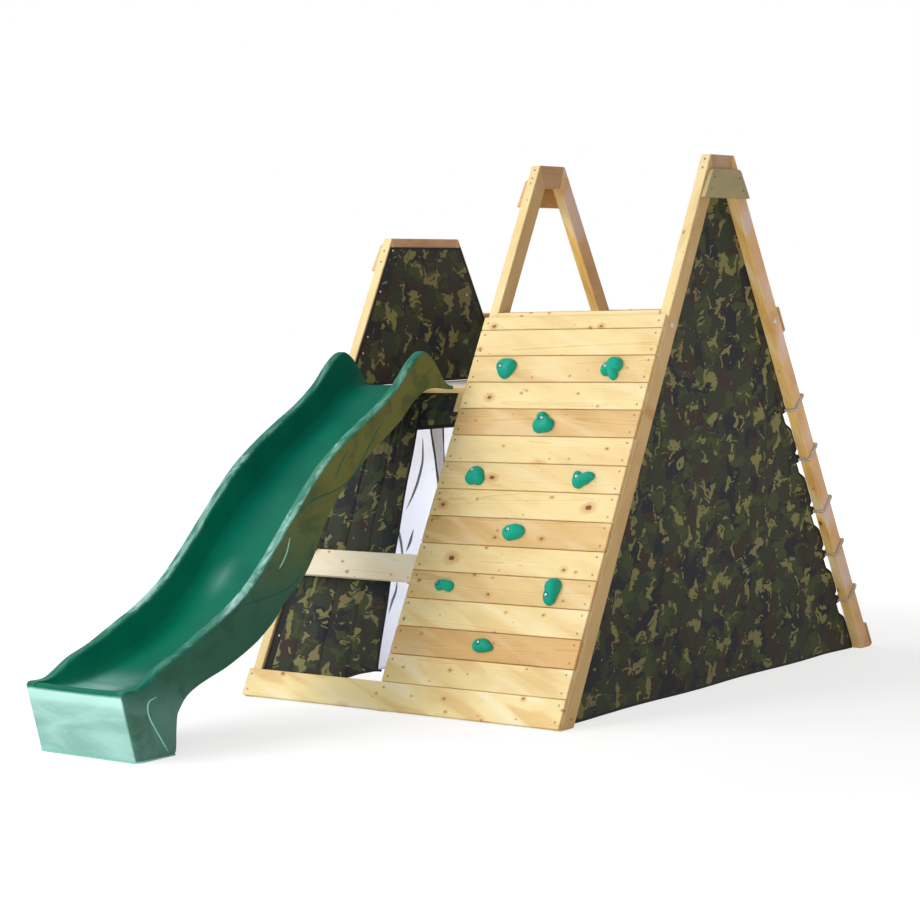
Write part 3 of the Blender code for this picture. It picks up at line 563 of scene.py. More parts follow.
@dataclass(frozen=True)
class MouldedPlastic:
    """Coloured polythene with scuffs, soft mottling and a pale worn bloom, and on the slide
    painted reflection, sheen and highlight.
    """

    base: Colour
    pale: Colour
    shade: Colour
    rough: float = 0.44
    gloss: float = 0.035
    name: str = "plastic"

    def material(self, wear_and_sheen_attribute: str | None = None) -> Material:
        """Makes the finish.

        Args:
            wear_and_sheen_attribute: The name of the attribute that says how worn a place is,
                how far it is on an outer wall, which takes a painted reflection, and how much of
                the paler front and the painted sheen it takes.

        Returns:
            The material.
        """
        graph = Graph.start(self.name)
        at = graph.coordinates()
        cloud = graph.noise(at, 3.2, 3.0, 0.55)
        grain = graph.noise(at, 160.0, 2.0, 0.6)
        streaks = graph.noise(at, (22.0, 7.0, 7.0), 4.0, 0.65, 1.2)
        scratch = graph.noise(at, (260.0, 7.0, 11.0), 2.0, 0.7)
        tone = graph.mix(cloud.step(0.35, 0.70) * 0.45, self.base, self.shade)
        wear = scratch.step(0.62, 0.78) * 0.06
        if wear_and_sheen_attribute:
            worn = graph.node("ShaderNodeAttribute", {"attribute_name": wear_and_sheen_attribute}, {}, 0)
            bloom, outer, front = graph.part(worn)
            # Painted reflection on the outer walls
            tone = graph.mix(outer * 0.92, tone, self.outer(graph, at))
            ragged = streaks.step(0.42, 0.66)
            soft = graph.noise(at, (5.0, 9.0, 16.0), 3.0, 0.6, 0.8)
            z = graph.part(at)[2]
            # The foot's painted highlight band just under the lip, and the ends of the rims,
            # which are worn less
            band = z.step(0.160, 0.190) - z.step(0.198, 0.206)
            ends = z.step(0.80, 1.06) * 0.45 + z.step(0.44, 0.24) * 0.70
            # The third channel adds the foot's paler front and the bed's painted sheen; the band
            # adds a painted highlight
            wear = (wear + bloom * (0.20 + 0.40 * ragged) * (1 - ends)
                    + front * (0.52 + 0.16 * soft.step(0.3, 0.7) + 0.30 * band))
        tone = graph.mix(wear.step(0.0, 1.0), tone, self.pale)
        rough = self.rough + 0.10 * grain + wear * 0.15
        relief = (cloud * 0.6 + grain * 0.10 + streaks * 0.10, 0.0016, 0.55)
        return graph.surface(tone, rough, relief, self.gloss)

    def outer(self, graph: Graph, at: Value) -> Value:
        """The outer walls' painted reflection, a duller colour: dark green low down, olive
        towards the top, paler near the foot, with darker spots.

        Args:
            graph: The material's graph.
            at: Object coordinates.

        Returns:
            A colour.
        """
        _, _, z = graph.part(at)
        spots = graph.noise(at, 9.0, 3.0, 0.6, 0.8)
        dull = graph.mix(z.step(0.34, 0.80), srgb(56, 96, 82), srgb(116, 114, 64))
        dull = graph.mix(z.step(0.24, 0.12) * 0.40, dull, srgb(128, 172, 160))
        return graph.mix(spots.step(0.45, 0.72) * 0.55, dull, srgb(48, 78, 60))


@dataclass(frozen=True)
class Patches:
    """How one colour of a print lies: wherever a noise is above a level."""

    stretch: Spot
    shift: float
    cells: float
    level: float
    ragged: float
    blur: float = 0.004

    def mask(self, graph: Graph, at: Value, teeth: Value) -> Value:
        """Where the patches are.

        Args:
            graph: The material's graph.
            at: Coordinates on the cloth.
            teeth: The noise that frays their edges.

        Returns:
            1 inside the patches and 0 outside.
        """
        moved = graph.vector("ADD", at, (self.shift, self.shift * 0.7, 0.0))
        scaled = graph.vector("MULTIPLY", moved, (*self.stretch, 1.0))
        patch = graph.noise(scaled, self.cells) + (teeth - 0.5) * self.ragged
        return patch.step(self.level - self.blur, self.level + self.blur)


@dataclass(frozen=True)
class CamouflageCloth:
    """Printed nylon: dark ground with brown, olive and khaki patches, and a fine weave."""

    ground: Colour = srgb(58, 62, 48)
    night: Colour = srgb(38, 39, 44)
    brown: Colour = srgb(64, 52, 43)
    olive: Colour = srgb(74, 82, 50)
    khaki: Colour = srgb(146, 142, 88)
    sand: Colour = srgb(146, 134, 92)
    shadow: Colour = srgb(24, 24, 20)
    dimmed: Colour = srgb(16, 16, 14)
    rough: float = 0.62
    gloss: float = 0.22
    brown_patches: Patches = Patches((1.0, 1.1), 3.0, 9.5, 0.545, 0.14)
    night_patches: Patches = Patches((1.1, 0.9), 7.0, 9.0, 0.560, 0.16)
    olive_patches: Patches = Patches((0.9, 1.15), 1.0, 11.0, 0.575, 0.20)
    khaki_patches: Patches = Patches((1.15, 0.85), 5.0, 15.0, 0.592, 0.30)

    def material(self, name: str, seed: float, glow: float = 1.0) -> Material:
        """Makes the print for one sheet.

        Args:
            name: The material's name.
            seed: Which part of the print the sheet is cut from.
            glow: How strong the print's colours are, as a share.

        Returns:
            The material.
        """
        graph = Graph.start(name)
        flat = graph.coordinates("UV")
        at = graph.vector("ADD", flat, (seed * 3.7, seed * 1.9, 0.0))
        wander = graph.noise(at, 17.0, 1.0, 0.5, 0.0, 1)
        wander = graph.vector("SUBTRACT", wander, (0.5, 0.5, 0.5))
        bent = graph.vector("ADD", at, graph.vector("MULTIPLY", wander, (0.10, 0.08, 0.0)))
        teeth = graph.noise(bent, (38.0, 92.0, 1.0), 1.5, 0.55)
        dry = graph.noise(at, 9.0, 1.0).step(0.50, 0.62)
        tone = self.ground
        for colour, patches in (
            (self.brown, self.brown_patches), (self.night, self.night_patches),
            (self.olive, self.olive_patches),
            (graph.mix(dry, self.khaki, self.sand), self.khaki_patches),
        ):
            tone = graph.mix(patches.mask(graph, bent, teeth), tone, colour)
        weave = self.weave(graph, flat)
        soft = graph.noise(flat, 5.0, 3.0, 0.6)
        tone = graph.mix((1 - weave) * 0.18, tone, self.shadow)
        tone = graph.mix(1 - glow, tone, self.dimmed) if glow < 1 else tone
        relief = (weave * 0.15 + soft * 0.85, 0.004, 0.5)
        return graph.surface(tone, self.rough + 0.15 * weave, relief, self.gloss)

    @staticmethod
    def weave(graph: Graph, flat: Value, cell: float = 0.0011) -> Value:
        """A plain weave.

        Args:
            graph: The material's graph.
            flat: Coordinates on the sheet, in metres.
            cell: The size of a thread.

        Returns:
            The height of the threads, from 0 to 1.
        """
        u, v, _ = graph.part(flat)
        across = (u * (math.pi / cell)).math("SINE").math("ABSOLUTE")
        down = (v * (math.pi / cell)).math("SINE").math("ABSOLUTE")
        return across * down


@dataclass(frozen=True)
class PlainCloth:
    """Cloth of one colour, with a weave, creases and soil."""

    base: Colour
    soil: Colour
    rough: float = 0.8
    name: str = "cloth"
    gloss: float = 0.3

    def material(self) -> Material:
        """Makes the finish."""
        graph = Graph.start(self.name)
        flat = graph.coordinates("UV")
        weave = CamouflageCloth.weave(graph, flat, 0.0014)
        cloud = graph.noise(flat, 6.0, 4.0, 0.6, 0.4)
        tone = graph.mix(cloud.step(0.45, 0.80) * 0.5 + (1 - weave) * 0.12, self.base, self.soil)
        relief = (weave * 0.2 + cloud, 0.003, 0.5)
        return graph.surface(tone, self.rough + 0.1 * weave, relief, self.gloss)


@dataclass(frozen=True)
class TwistedRope:
    """Grey-brown rope, with lighter strands and fluff."""

    base: Colour = srgb(226, 216, 202)
    dark: Colour = srgb(150, 136, 124)

    def material(self) -> Material:
        """Makes the finish."""
        graph = Graph.start("rope")
        at = graph.coordinates()
        strand = graph.noise(at, 420.0, 2.0, 0.7)
        cloud = graph.noise(at, 30.0, 2.0)
        tone = graph.mix(strand.step(0.35, 0.65) * 0.6 + cloud * 0.25, self.base, self.dark)
        return graph.surface(tone, 0.82 + 0.1 * strand, (strand, 0.0012, 0.8))


@dataclass(frozen=True)
class Zinc:
    """Galvanised steel with a brushed, slightly spotted surface."""

    base: Colour = srgb(186, 190, 192)
    dark: Colour = srgb(104, 104, 104)
    name: str = "zinc"
    metallic: float = 0.95

    def material(self) -> Material:
        """Makes the finish."""
        graph = Graph.start(self.name)
        at = graph.coordinates()
        spots = graph.noise(at, 900.0, 2.0, 0.6)
        cloud = graph.noise(at, 160.0, 2.0)
        tone = graph.mix(spots.step(0.45, 0.7) * 0.6, self.base, self.dark)
        return graph.surface(tone, 0.30 + 0.2 * cloud, (spots, 0.0002, 0.5),
                             metallic=self.metallic)


def mapped_grid(
    columns: int, rows: int, place: Place, size: tuple[float, float] = (1.0, 1.0),
    mesh: Mesh | None = None, seam: bool = False, chart: Chart | None = None,
) -> Mesh:
    """A grid whose points are moved to a surface.

    Args:
        columns: Steps in u.
        rows: Steps in v.
        place: The point of the surface at u and v, both from 0 to 1.
        size: What one step from 0 to 1 in u and in v is on the sheet, in metres.
        mesh: A mesh to add to.
        seam: Whether the surface closes on itself in u.
        chart: The sheet's coordinates at a point, where the size doesn't give them.

    Returns:
        The mesh, with a UV map in metres.
    """
    made = mesh or bmesh.new()
    layer = made.loops.layers.uv.verify()
    before = set(made.verts)
    bmesh.ops.create_grid(made, x_segments=columns, y_segments=rows, size=0.5)
    fresh = [vert for vert in made.verts if vert not in before]
    at = {vert: (vert.co.x + 0.5, vert.co.y + 0.5) for vert in fresh}
    faces = {face for vert in fresh for face in vert.link_faces}
    for vert in fresh:
        vert.co = place(*at[vert])
    for face in faces:
        for loop in face.loops:
            u, v = at[loop.vert]
            loop[layer].uv = chart(loop.vert.co) if chart else (u * size[0], v * size[1])
    if seam:
        bmesh.ops.remove_doubles(made, verts=fresh, dist=1e-6)
    return made


def margin(place: Place, steps: int, u: float | None = None, v: float = 0.0) -> list[Vector]:
    """Points of a surface in equal steps, up it at this u, or else across it at this v."""
    shares = [k / steps for k in range(steps + 1)]
    return [place(share, v) if u is None else place(u, share) for share in shares]


class Path:
    """A smooth line through points, with a frame that turns no more than it must."""

    def __init__(self, points: Sequence[Vector], closed: bool = False, fine: int = 6) -> None:
        """Rounds the line and works out its frames.

        Args:
            points: The points that it passes.
            closed: Whether it returns to its start.
            fine: Steps between two points.
        """
        self.closed = closed
        self.points = self._rounded([Vector(p) for p in points], fine)
        if closed:
            self.points.append(self.points[0].copy())
        self.reach = [0.0]
        for first, second in zip(self.points, self.points[1:]):
            self.reach.append(self.reach[-1] + (second - first).length)
        self.frames = self._frames()

    def _rounded(self, points: list[Vector], fine: int) -> list[Vector]:
        """The points of a Catmull-Rom line.

        Args:
            points: The points that it passes.
            fine: Steps between two points.

        Returns:
            The finer points.
        """
        if fine < 2:
            return points
        count = len(points)
        spans = count if self.closed else count - 1
        found = []
        for k in range(spans):
            if self.closed:
                a, b, c, d = (points[(k + j) % count] for j in (-1, 0, 1, 2))
            else:
                a, b = points[max(0, k - 1)], points[k]
                c, d = points[k + 1], points[min(count - 1, k + 2)]
            for step in range(fine):
                t = step / fine
                found.append(0.5 * (2 * b + (c - a) * t + (2 * a - 5 * b + 4 * c - d) * t * t
                                    + (3 * b - a - 3 * c + d) * t ** 3))
        if not self.closed:
            found.append(points[-1])
        return found

    def _frames(self) -> list[tuple[Vector, Vector]]:
        """The two cross directions at each point."""
        found, side = [], None
        last = len(self.points) - 1
        for k in range(last + 1):
            before = self.points[k - 1 if k else (last - 1 if self.closed else 0)]
            after = self.points[k + 1 if k < last else (1 if self.closed else last)]
            ahead = (after - before).normalized()
            side = side or ahead.orthogonal().normalized()
            side = (side - ahead * side.dot(ahead)).normalized()
            found.append((side, ahead.cross(side)))
        return found

    def lay(self, normal: Vector) -> None:
        """Turns the frames so that their second direction lies along a normal."""
        turned = []
        for side, up in self.frames:
            ahead = side.cross(up)
            flat = (normal - ahead * normal.dot(ahead)).normalized()
            turned.append((flat.cross(ahead), flat))
        self.frames = turned

    @property
    def length(self) -> float:
        """The length of the line."""
        return self.reach[-1]


def tube(
    mesh: Mesh, path: Path, radius: Callable[[float, float], float],
    sides: int = 8, flat: float = 1.0,
) -> None:
    """Adds a tube that follows a path, with closed ends.

    Args:
        mesh: The mesh that it is added to.
        path: The line in its middle.
        radius: Its radius at an angle and a distance along the path.
        sides: Faces round it.
        flat: Its thickness in the second cross direction, as a share of the first.
    """
    last = len(path.points) - 1

    def place(u: float, v: float) -> Vector:
        """A point of the tube."""
        k = round(v * last)
        side, up = path.frames[k]
        angle = 2 * math.pi * u
        reach = radius(angle, path.reach[k])
        return path.points[k] + reach * (math.cos(angle) * side + flat * math.sin(angle) * up)

    before = set(mesh.verts)
    mapped_grid(sides, last, place, (2 * math.pi * radius(0, 0), path.length), mesh, seam=True)
    if not path.closed:
        fresh = [vert for vert in mesh.verts if vert not in before]
        open_edges = [e for v in fresh for e in v.link_edges if e.is_boundary]
        bmesh.ops.holes_fill(mesh, edges=list(set(open_edges)), sides=sides)


def link(name: str, data: bpy.types.ID) -> Piece:
    """Puts a mesh, a lamp or a camera in the scene as an object of this name."""
    made = bpy.data.objects.new(name, data)
    bpy.context.scene.collection.objects.link(made)
    return made


def as_object(name: str, mesh: Mesh, materials: Sequence[Material]) -> Piece:
    """Makes an object of a mesh, which is freed, and of its materials."""
    data = bpy.data.meshes.new(name)
    mesh.to_mesh(data)
    mesh.free()
    for material in materials:
        data.materials.append(material)
    return link(name, data)


def add_piece(
    name: str, mesh: Mesh, materials: Sequence[Material], slot: Slot,
    replaces: Sequence[str] = (), shade_smooth: bool = True,
) -> Piece:
    """Makes a mesh a piece of the object, and reports it.

    Args:
        name: The piece's name.
        mesh: Its mesh, which is freed.
        materials: Its materials.
        slot: Where its finish comes from; not used.
        replaces: The CAD nodes that it stands for.
        shade_smooth: Whether its faces are shaded smooth.

    Returns:
        The piece.
    """
    bmesh.ops.recalc_face_normals(mesh, faces=mesh.faces)
    piece = as_object(name, mesh, materials)
    faces = piece.data.polygons
    faces.foreach_set("use_smooth", [shade_smooth] * len(faces))
    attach(piece, BODY)
    if replaces:
        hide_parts(*replaces)
    LOG.info("piece: %s", name)
    return piece


def add_modifier(piece: Piece, kind: str, **settings: Any) -> None:
    """Adds a modifier to a piece with these settings."""
    made = piece.modifiers.new(kind.lower(), kind)
    for key, value in settings.items():
        setattr(made, key, value)


@dataclass(frozen=True)
class Head:
    """The round head of a screw, bolt or stud, with a socket in its top."""

    radius: float
    high: float
    sides: int
    socket: float
    taper: float = 0.86

    def add(self, mesh: Mesh, at: Vector, out: Vector) -> None:
        """Adds a head to a mesh.

        Args:
            mesh: The mesh.
            at: The middle of its foot.
            out: The direction that it faces.
        """
        turn = out.to_track_quat("Z", "Y").to_matrix().to_4x4()
        made = bmesh.ops.create_cone(
            mesh, cap_ends=True, segments=self.sides, radius1=self.radius,
            radius2=self.radius * self.taper, depth=self.high,
            matrix=Matrix.Translation(at + out * self.high / 2) @ turn)["verts"]
        faces = {face for vert in made for face in vert.link_faces}
        tops = [f for f in faces if f.normal.dot(out) > 0.9 and len(f.verts) == self.sides]
        bmesh.ops.recalc_face_normals(mesh, faces=list(faces))
        bmesh.ops.inset_region(
            mesh, faces=tops, thickness=self.radius * (self.taper - self.socket))
        grown = bmesh.ops.extrude_face_region(mesh, geom=tops)["geom"]
        bmesh.ops.delete(mesh, geom=tops, context="FACES_ONLY")
        sunk = [item for item in grown if isinstance(item, bmesh.types.BMVert)]
        bmesh.ops.translate(mesh, verts=sunk, vec=-out * self.high * 0.7)


@dataclass
class Timber:
    """The planed timber of the frame, which keeps its CAD shapes and gets its grain."""

    pale: PlanedPine = PlanedPine(srgb(244, 220, 160), srgb(212, 166, 100))
    tan: PlanedPine = PlanedPine(srgb(222, 180, 118), srgb(170, 124, 70), knots=0.3)
    # A paler copy of the pine for the step board: painted light that makes up for the shade
    # beside the slide's top
    painted_light_pale: PlanedPine = PlanedPine(srgb(254, 242, 216), srgb(236, 206, 156), pins=0.2)
    aged: PlanedPine = PlanedPine(
        srgb(196, 180, 132), srgb(150, 130, 90), knots=0.2, flank=(0.94, 0.94, 0.94, 1.0))
    pink: PlanedPine = PlanedPine(
        srgb(226, 190, 142), srgb(184, 138, 98), knots=0.4, flank=(0.92, 0.81, 0.84, 1.0))
    # A brighter, more orange copy of the pine for the rear legs: painted light on their inner
    # faces
    painted_light_golden: PlanedPine = PlanedPine(
        srgb(252, 210, 128), srgb(216, 152, 74), painted_sheen=0.5, flank=(0.96, 0.90, 1.35, 1.0))
    # The deck's boards, whose upward faces get painted light
    deck: PlanedPine = PlanedPine(srgb(236, 204, 140), srgb(204, 158, 96), rough=0.40,
                                  painted_top_light=srgb(250, 246, 232))
    # How far each of these boards is from the pale wood to the tan. The kick board's negative
    # share makes it paler than the pale wood: painted light that makes up for the shade on it
    depths: dict[str, float] = field(default_factory=lambda: {
        "wall_board_03": 0.30, "wall_board_05": 0.75, "wall_board_07": 0.20,
        "wall_board_09": 0.80, "wall_board_11": 0.55, "wall_board_13": 1.0,
        "front_kick_board": -0.3, "front_top_rail": -0.2,
        "left_rear_leg": 0.3,
        "rear_top_rail": 0.3, "left_joist": 0.4, "middle_left_joist": 0.4,
    })
    # How strong the painted satin sheen is on these boards
    painted_sheen: dict[str, float] = field(default_factory=lambda: {
        "front_kick_board": 0.75, "wall_board_14": 0.65,
        "wall_board_04": 0.4, "wall_board_12": 0.4,
    })

    def finish(self, name: str, slot: str) -> PlanedPine:
        """The wood of a node.

        Args:
            name: The node's name.
            slot: The slot that the CAD gives it.

        Returns:
            The finish.
        """
        if name.endswith("_deck"):
            return self.deck
        # The rear legs take a brighter copy of the pine: painted light
        if name in ("right_rear_leg", "middle_rear_leg"):
            return self.painted_light_golden
        # The step board takes a paler copy of the pine: painted light
        if name == "step_board":
            return self.painted_light_pale
        wood = {"pine_tan": self.tan, "pine_aged": self.aged,
                "pine_pink": self.pink}.get(slot, self.pale)
        depth = self.depths.get(name)
        if depth is not None:
            wood = replace(wood, early=between(self.pale.early, self.tan.early, depth),
                           late=between(self.pale.late, self.tan.late, depth))
        pins = 0.2 if name == "front_kick_board" else wood.pins
        return replace(wood, painted_sheen=self.painted_sheen.get(name, wood.painted_sheen), pins=pins)

    def axis(self, name: str) -> Axis:
        """What a node lies along, from its name."""
        if name.endswith("front_leg"):
            return Axis.FRONT_SLOPE
        if name.endswith("rear_leg"):
            return Axis.REAR_SLOPE
        if name.endswith(("joist", "beam", "plate", "apex_block", "cleat")):
            return Axis.DEPTH
        return Axis.ACROSS

    def build(self) -> int:
        """Gives every timber node its material.

        Returns:
            How many nodes were dressed.
        """
        count = 0
        for seed, (name, node) in enumerate(sorted(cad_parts.items()), start=1):
            slot = node.data.materials[0].name.split(".")[0]
            if not slot.startswith("pine"):
                continue
            wood = self.finish(name, slot)
            node.data.materials[0] = wood.dress(node, self.axis(name), seed)
            LOG.info("dressed: %s", name)
            count += 1
        return count


@dataclass
class Slide:
    """The moulded plastic slide, as one thin shell from the deck to its foot."""

    run: float = 1.650
    width_top: float = 0.392
    width_foot: float = 0.424
    rim: float = 0.038
    wall_inset: float = 0.016
    skin: float = 0.006
    wall_height: float = 0.126
    skirt_depth: float = 0.118
    fillet: float = 0.022
    crown: float = 0.005
    lip: float = 0.193
    foot_reach: float = 0.050
    foot_start: float = 0.8655
    deck_gap: float = 0.014
    corner: float = 0.026
    stations: int = 96
    wall_steps: int = 16
    # The shares by which the foot's corners draw in and down
    corner_in: float = 0.55
    corner_down: float = 0.80
    # The sunk panel of the foot
    panel_front: float = -1.395
    panel_lean: float = -0.59
    panel_top: float = 0.185
    panel_rise: float = 0.173
    panel_depth: float = 0.0035
    panel_edge: float = 0.016
    panel_shares: Spot = (0.66, 0.76)
    flange_height: float = 0.0031
    flange_radius: float = 0.0060
    flange_start: float = 0.878
    # Sections added where the outline turns sharply
    close_shares: tuple[float, ...] = (0.004, 0.008, 0.8575, 0.8605, 0.863, 0.8649, 0.8656)
    bed_line: Line = (
        (0.0, 1.0), (0.103, 1.0), (0.139, 0.962), (0.173, 0.908), (0.236, 0.832),
        (0.297, 0.762), (0.377, 0.655), (0.430, 0.580), (0.476, 0.503), (0.521, 0.417),
        (0.558, 0.346), (0.592, 0.282), (0.644, 0.196), (0.719, 0.117), (0.782, 0.072),
        (0.842, 0.036), (0.897, 0.016), (0.955, 0.014), (0.982, 0.029), (1.0, 0.030),
    )
    wall_line: Line = (
        (0.0, 0.016), (0.020, 0.05), (0.056, 0.58), (0.099, 1.0), (0.127, 0.984),
        (0.173, 0.889), (0.242, 0.817), (0.297, 0.865), (0.382, 0.992), (0.505, 1.0),
        (0.644, 0.952), (0.719, 0.873), (0.782, 0.794), (0.842, 0.675), (0.897, 0.540),
        (0.930, 0.330), (0.955, 0.150), (0.975, 0.045), (1.0, 0.015),
    )
    skirt_line: Line = (
        (0.0, 0.093), (0.121, 0.119), (0.244, 0.136), (0.321, 0.153), (0.391, 0.254),
        (0.432, 0.525), (0.453, 0.780), (0.494, 1.0), (0.527, 0.915), (0.559, 0.788),
        (0.583, 0.797), (0.624, 0.678), (0.664, 0.559), (0.724, 0.475), (0.784, 0.418),
        (0.810, 0.430), (0.835, 0.510), (0.8545, 0.752), (0.862, 0.985), (0.865, 1.41),
    )
    # The rim's rounding, as shares of the crown: in from the rim's side, and down
    rim_round: Line = ((0.35, 0.7), (1.4, 0.0), (2.8, 0.0))
    # The fillet at the bed's edge, as shares of the fillet: in from the edge, and up
    bed_round: Line = ((-0.1, 1.0), (0.12, 0.45), (0.45, 0.13), (1.0, 0.0))
    # The bed's sag: shares of its half width, and metres down
    bed_sag: Line = ((0.6, 0.0008), (0.3, 0.0013), (0.0, 0.0015))
    # Fine lines moulded into the outer walls, as places (y, z)
    grooves: tuple[Line, ...] = (
        ((-0.336, 0.956), (-0.380, 0.915), (-0.419, 0.872), (-0.462, 0.820), (-0.523, 0.770),
         (-0.601, 0.741), (-0.687, 0.725), (-0.745, 0.703), (-0.792, 0.670)),
        ((-0.526, 0.869), (-0.563, 0.830), (-0.595, 0.779)),
        ((-0.764, 0.504), (-0.801, 0.470), (-0.867, 0.441), (-0.958, 0.428), (-1.056, 0.417)),
    )
    edges: tuple[Line, ...] = (
        ((-0.827, 0.609), (-0.848, 0.558), (-0.882, 0.516)),
        ((-1.452, 0.188), (-1.480, 0.181), (-1.491, 0.166), (-1.488, 0.140), (-1.475, 0.113),
         (-1.437, 0.055), (-1.408, 0.012)),
    )
    finish: MouldedPlastic = MouldedPlastic(
        srgb(4, 110, 84), srgb(190, 236, 226), srgb(2, 76, 72), name="slide_plastic"
    )
    dark_line: MouldedPlastic = MouldedPlastic(
        srgb(34, 104, 96), srgb(90, 150, 140), srgb(24, 84, 80), name="slide_line_plastic"
    )
    scuffed: MouldedPlastic = MouldedPlastic(
        srgb(150, 206, 192), srgb(196, 234, 222), srgb(118, 182, 166), name="slide_edge_plastic"
    )

    def __post_init__(self) -> None:
        """Places the slide against the deck."""
        low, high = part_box("slide")
        self.centre = (low.x + high.x) / 2
        self.start = SLOPE.y_at(Side.FRONT, SIZES.deck_top, 0.0) - self.deck_gap

    @staticmethod
    def along(line: Line, at: float) -> float:
        """The value of a smooth line at a place.

        Args:
            line: Places and values.
            at: The place.

        Returns:
            The value there.
        """
        places = [p for p, _ in line]
        values = [v for _, v in line]
        last = len(places) - 1
        k = max(0, min(last - 1, sum(p <= at for p in places) - 1))

        def slope(j: int) -> float:
            """The slope at a listed place, weighted by its neighbours' distances."""
            if j in (0, last):
                a, b = (0, 1) if j == 0 else (last - 1, last)
                return (values[b] - values[a]) / (places[b] - places[a])
            before, after = places[j] - places[j - 1], places[j + 1] - places[j]
            first = (values[j] - values[j - 1]) / before
            second = (values[j + 1] - values[j]) / after
            return (first * after + second * before) / (before + after)

        width = places[k + 1] - places[k]
        t = clamp((at - places[k]) / width)
        found = values[k] * (1 + 2 * t) * (1 - t) ** 2 + values[k + 1] * t * t * (3 - 2 * t)
        return found + width * (slope(k) * t * (1 - t) ** 2 - slope(k + 1) * t * t * (1 - t))

    def bed(self, share: float) -> float:
        """The height of the bed at a share of the run."""
        top = SIZES.deck_top + 0.0003 + self.skin
        return self.lip + (top - self.lip) * self.along(self.bed_line, share)

    def wall(self, share: float) -> float:
        """The height of the side walls over the bed at a share of the run."""
        return self.wall_height * max(self.along(self.wall_line, share), 0.01)

    def half(self, share: float) -> float:
        """Half the width at a share of the run."""
        return (self.width_top + (self.width_foot - self.width_top) * share) / 2

    def y_at(self, share: float, z: float) -> float:
        """The y of a section, whose foot leans outwards."""
        into = max(0.0, (share - self.foot_start) / (1 - self.foot_start))
        return self.start - self.run * share + self.foot_reach * into * (1 - z / self.lip)

    def section(self, share: float) -> list[tuple[float, float]]:
        """One half of the shell's outline at a share of the run.

        Args:
            share: Share of the run.

        Returns:
            Places across and up, from the foot of the outer wall to the bed's middle.
        """
        bed, wall = self.bed(share), self.wall(share)
        rim = bed + wall
        half = self.half(share)
        if share < self.foot_start:
            at = min(share, self.skirt_line[-1][0])
            depth = self.skirt_depth * self.along(self.skirt_line, at)
            foot = bed - max(depth, 1.7 * self.skin)
        else:
            foot = 0.0
        inner = half - self.rim
        bed_half = inner - self.wall_inset * min(1.0, 1.25 * wall / self.wall_height)
        fillet = min(self.fillet, 0.6 * wall)
        crown = min(self.crown, 0.25 * wall)
        shoulder = rim - 2 * crown
        heights = [foot + (shoulder - foot) * k / self.wall_steps
                   for k in range(self.wall_steps + 1)]
        found = [(half - self.recess(share, z), z) for z in heights]
        found += [(half - a * crown, rim - b * crown) for a, b in self.rim_round]
        found.append(((half + inner) / 2, rim))
        found += [(inner + a * crown, rim - b * crown) for a, b in reversed(self.rim_round)]
        found.append((inner, shoulder))
        found.append((inner - 0.35 * (inner - bed_half), bed + 0.6 * (shoulder - bed)))
        found += [(bed_half - a * fillet, bed + b * fillet) for a, b in self.bed_round]
        return found + [(bed_half * a, bed - b) for a, b in self.bed_sag]

    def recess(self, share: float, z: float) -> float:
        """How far the outer wall lies back in the panel of the foot."""
        y = self.y_at(share, z)
        behind = y - self.panel_front - self.panel_lean * z
        under = self.panel_top + self.panel_rise * (y - self.panel_front) - z
        depth = self.panel_depth * smooth(*self.panel_shares, share)
        return depth * smooth(0.0, self.panel_edge, behind) * smooth(0.0, self.panel_edge, under)

    def shares(self) -> list[float]:
        """The places of the sections, closer at both ends and at the foot."""
        found = [k / self.stations for k in range(self.stations + 1)]
        found += self.close_shares
        round_off = [self.corner * (1 - math.cos(math.pi / 2 * k / 7)) for k in range(8)]
        found = [s for s in found if (1 - s) * self.run > self.corner + 0.002]
        return sorted(found + [1 - d / self.run for d in round_off])

    def build(self) -> Piece:
        """Makes the shell, its flange and its moulded lines.

        Returns:
            The shell.
        """
        shares = self.shares()
        sections = [self.section(share) for share in shares]
        half_count = len(sections[0])
        columns = 2 * half_count - 2
        low = self.wall_steps

        def place(u: float, v: float) -> Vector:
            """A point of the shell."""
            row, column = round(v * (len(shares) - 1)), round(u * columns)
            share = shares[row]
            inward = column if column < half_count else columns - column
            x, z = sections[row][inward]
            off = (1 - share) * self.run
            if off < self.corner:
                bend = self.corner - math.sqrt(
                    max(0.0, self.corner ** 2 - (self.corner - off) ** 2))
                x *= 1 - self.corner_in * bend / (self.width_foot / 2)
                z *= 1 - self.corner_down * bend / self.lip
            sign = 1 if column < half_count else -1
            return Vector((self.centre + sign * x, self.y_at(share, z), z))

        def front(u: float, v: float) -> Vector:
            """A point of the wall that closes the foot."""
            top = place((low + round(u * (columns - 2 * low))) / columns, 1.0)
            height = place(round(v * low) / columns, 1.0).z / place(low / columns, 1.0).z
            z = top.z * height
            return Vector((top.x, self.y_at(1.0, z), z))

        shell = mapped_grid(columns, len(shares) - 1, place)
        mapped_grid(columns - 2 * low, low, front, mesh=shell)
        bmesh.ops.remove_doubles(shell, verts=shell.verts, dist=2e-5)
        # The worn attribute holds the rim's wear, the outer walls' painted reflection, and the
        # paler front with the bed's painted sheen
        worn = shell.verts.layers.float_color.new("worn")
        for vert in shell.verts:
            vert[worn] = (*self.wear(vert.co), 1.0)
        surface = self.finish.material("worn")
        slide = add_piece("slide_shell", shell, [surface], Slot.SLIDE, ["slide"])
        add_modifier(slide, "SOLIDIFY", thickness=self.skin, offset=-1.0)
        add_modifier(slide, "SUBSURF", levels=1, render_levels=1)
        self.flange()
        self.lines()
        return slide

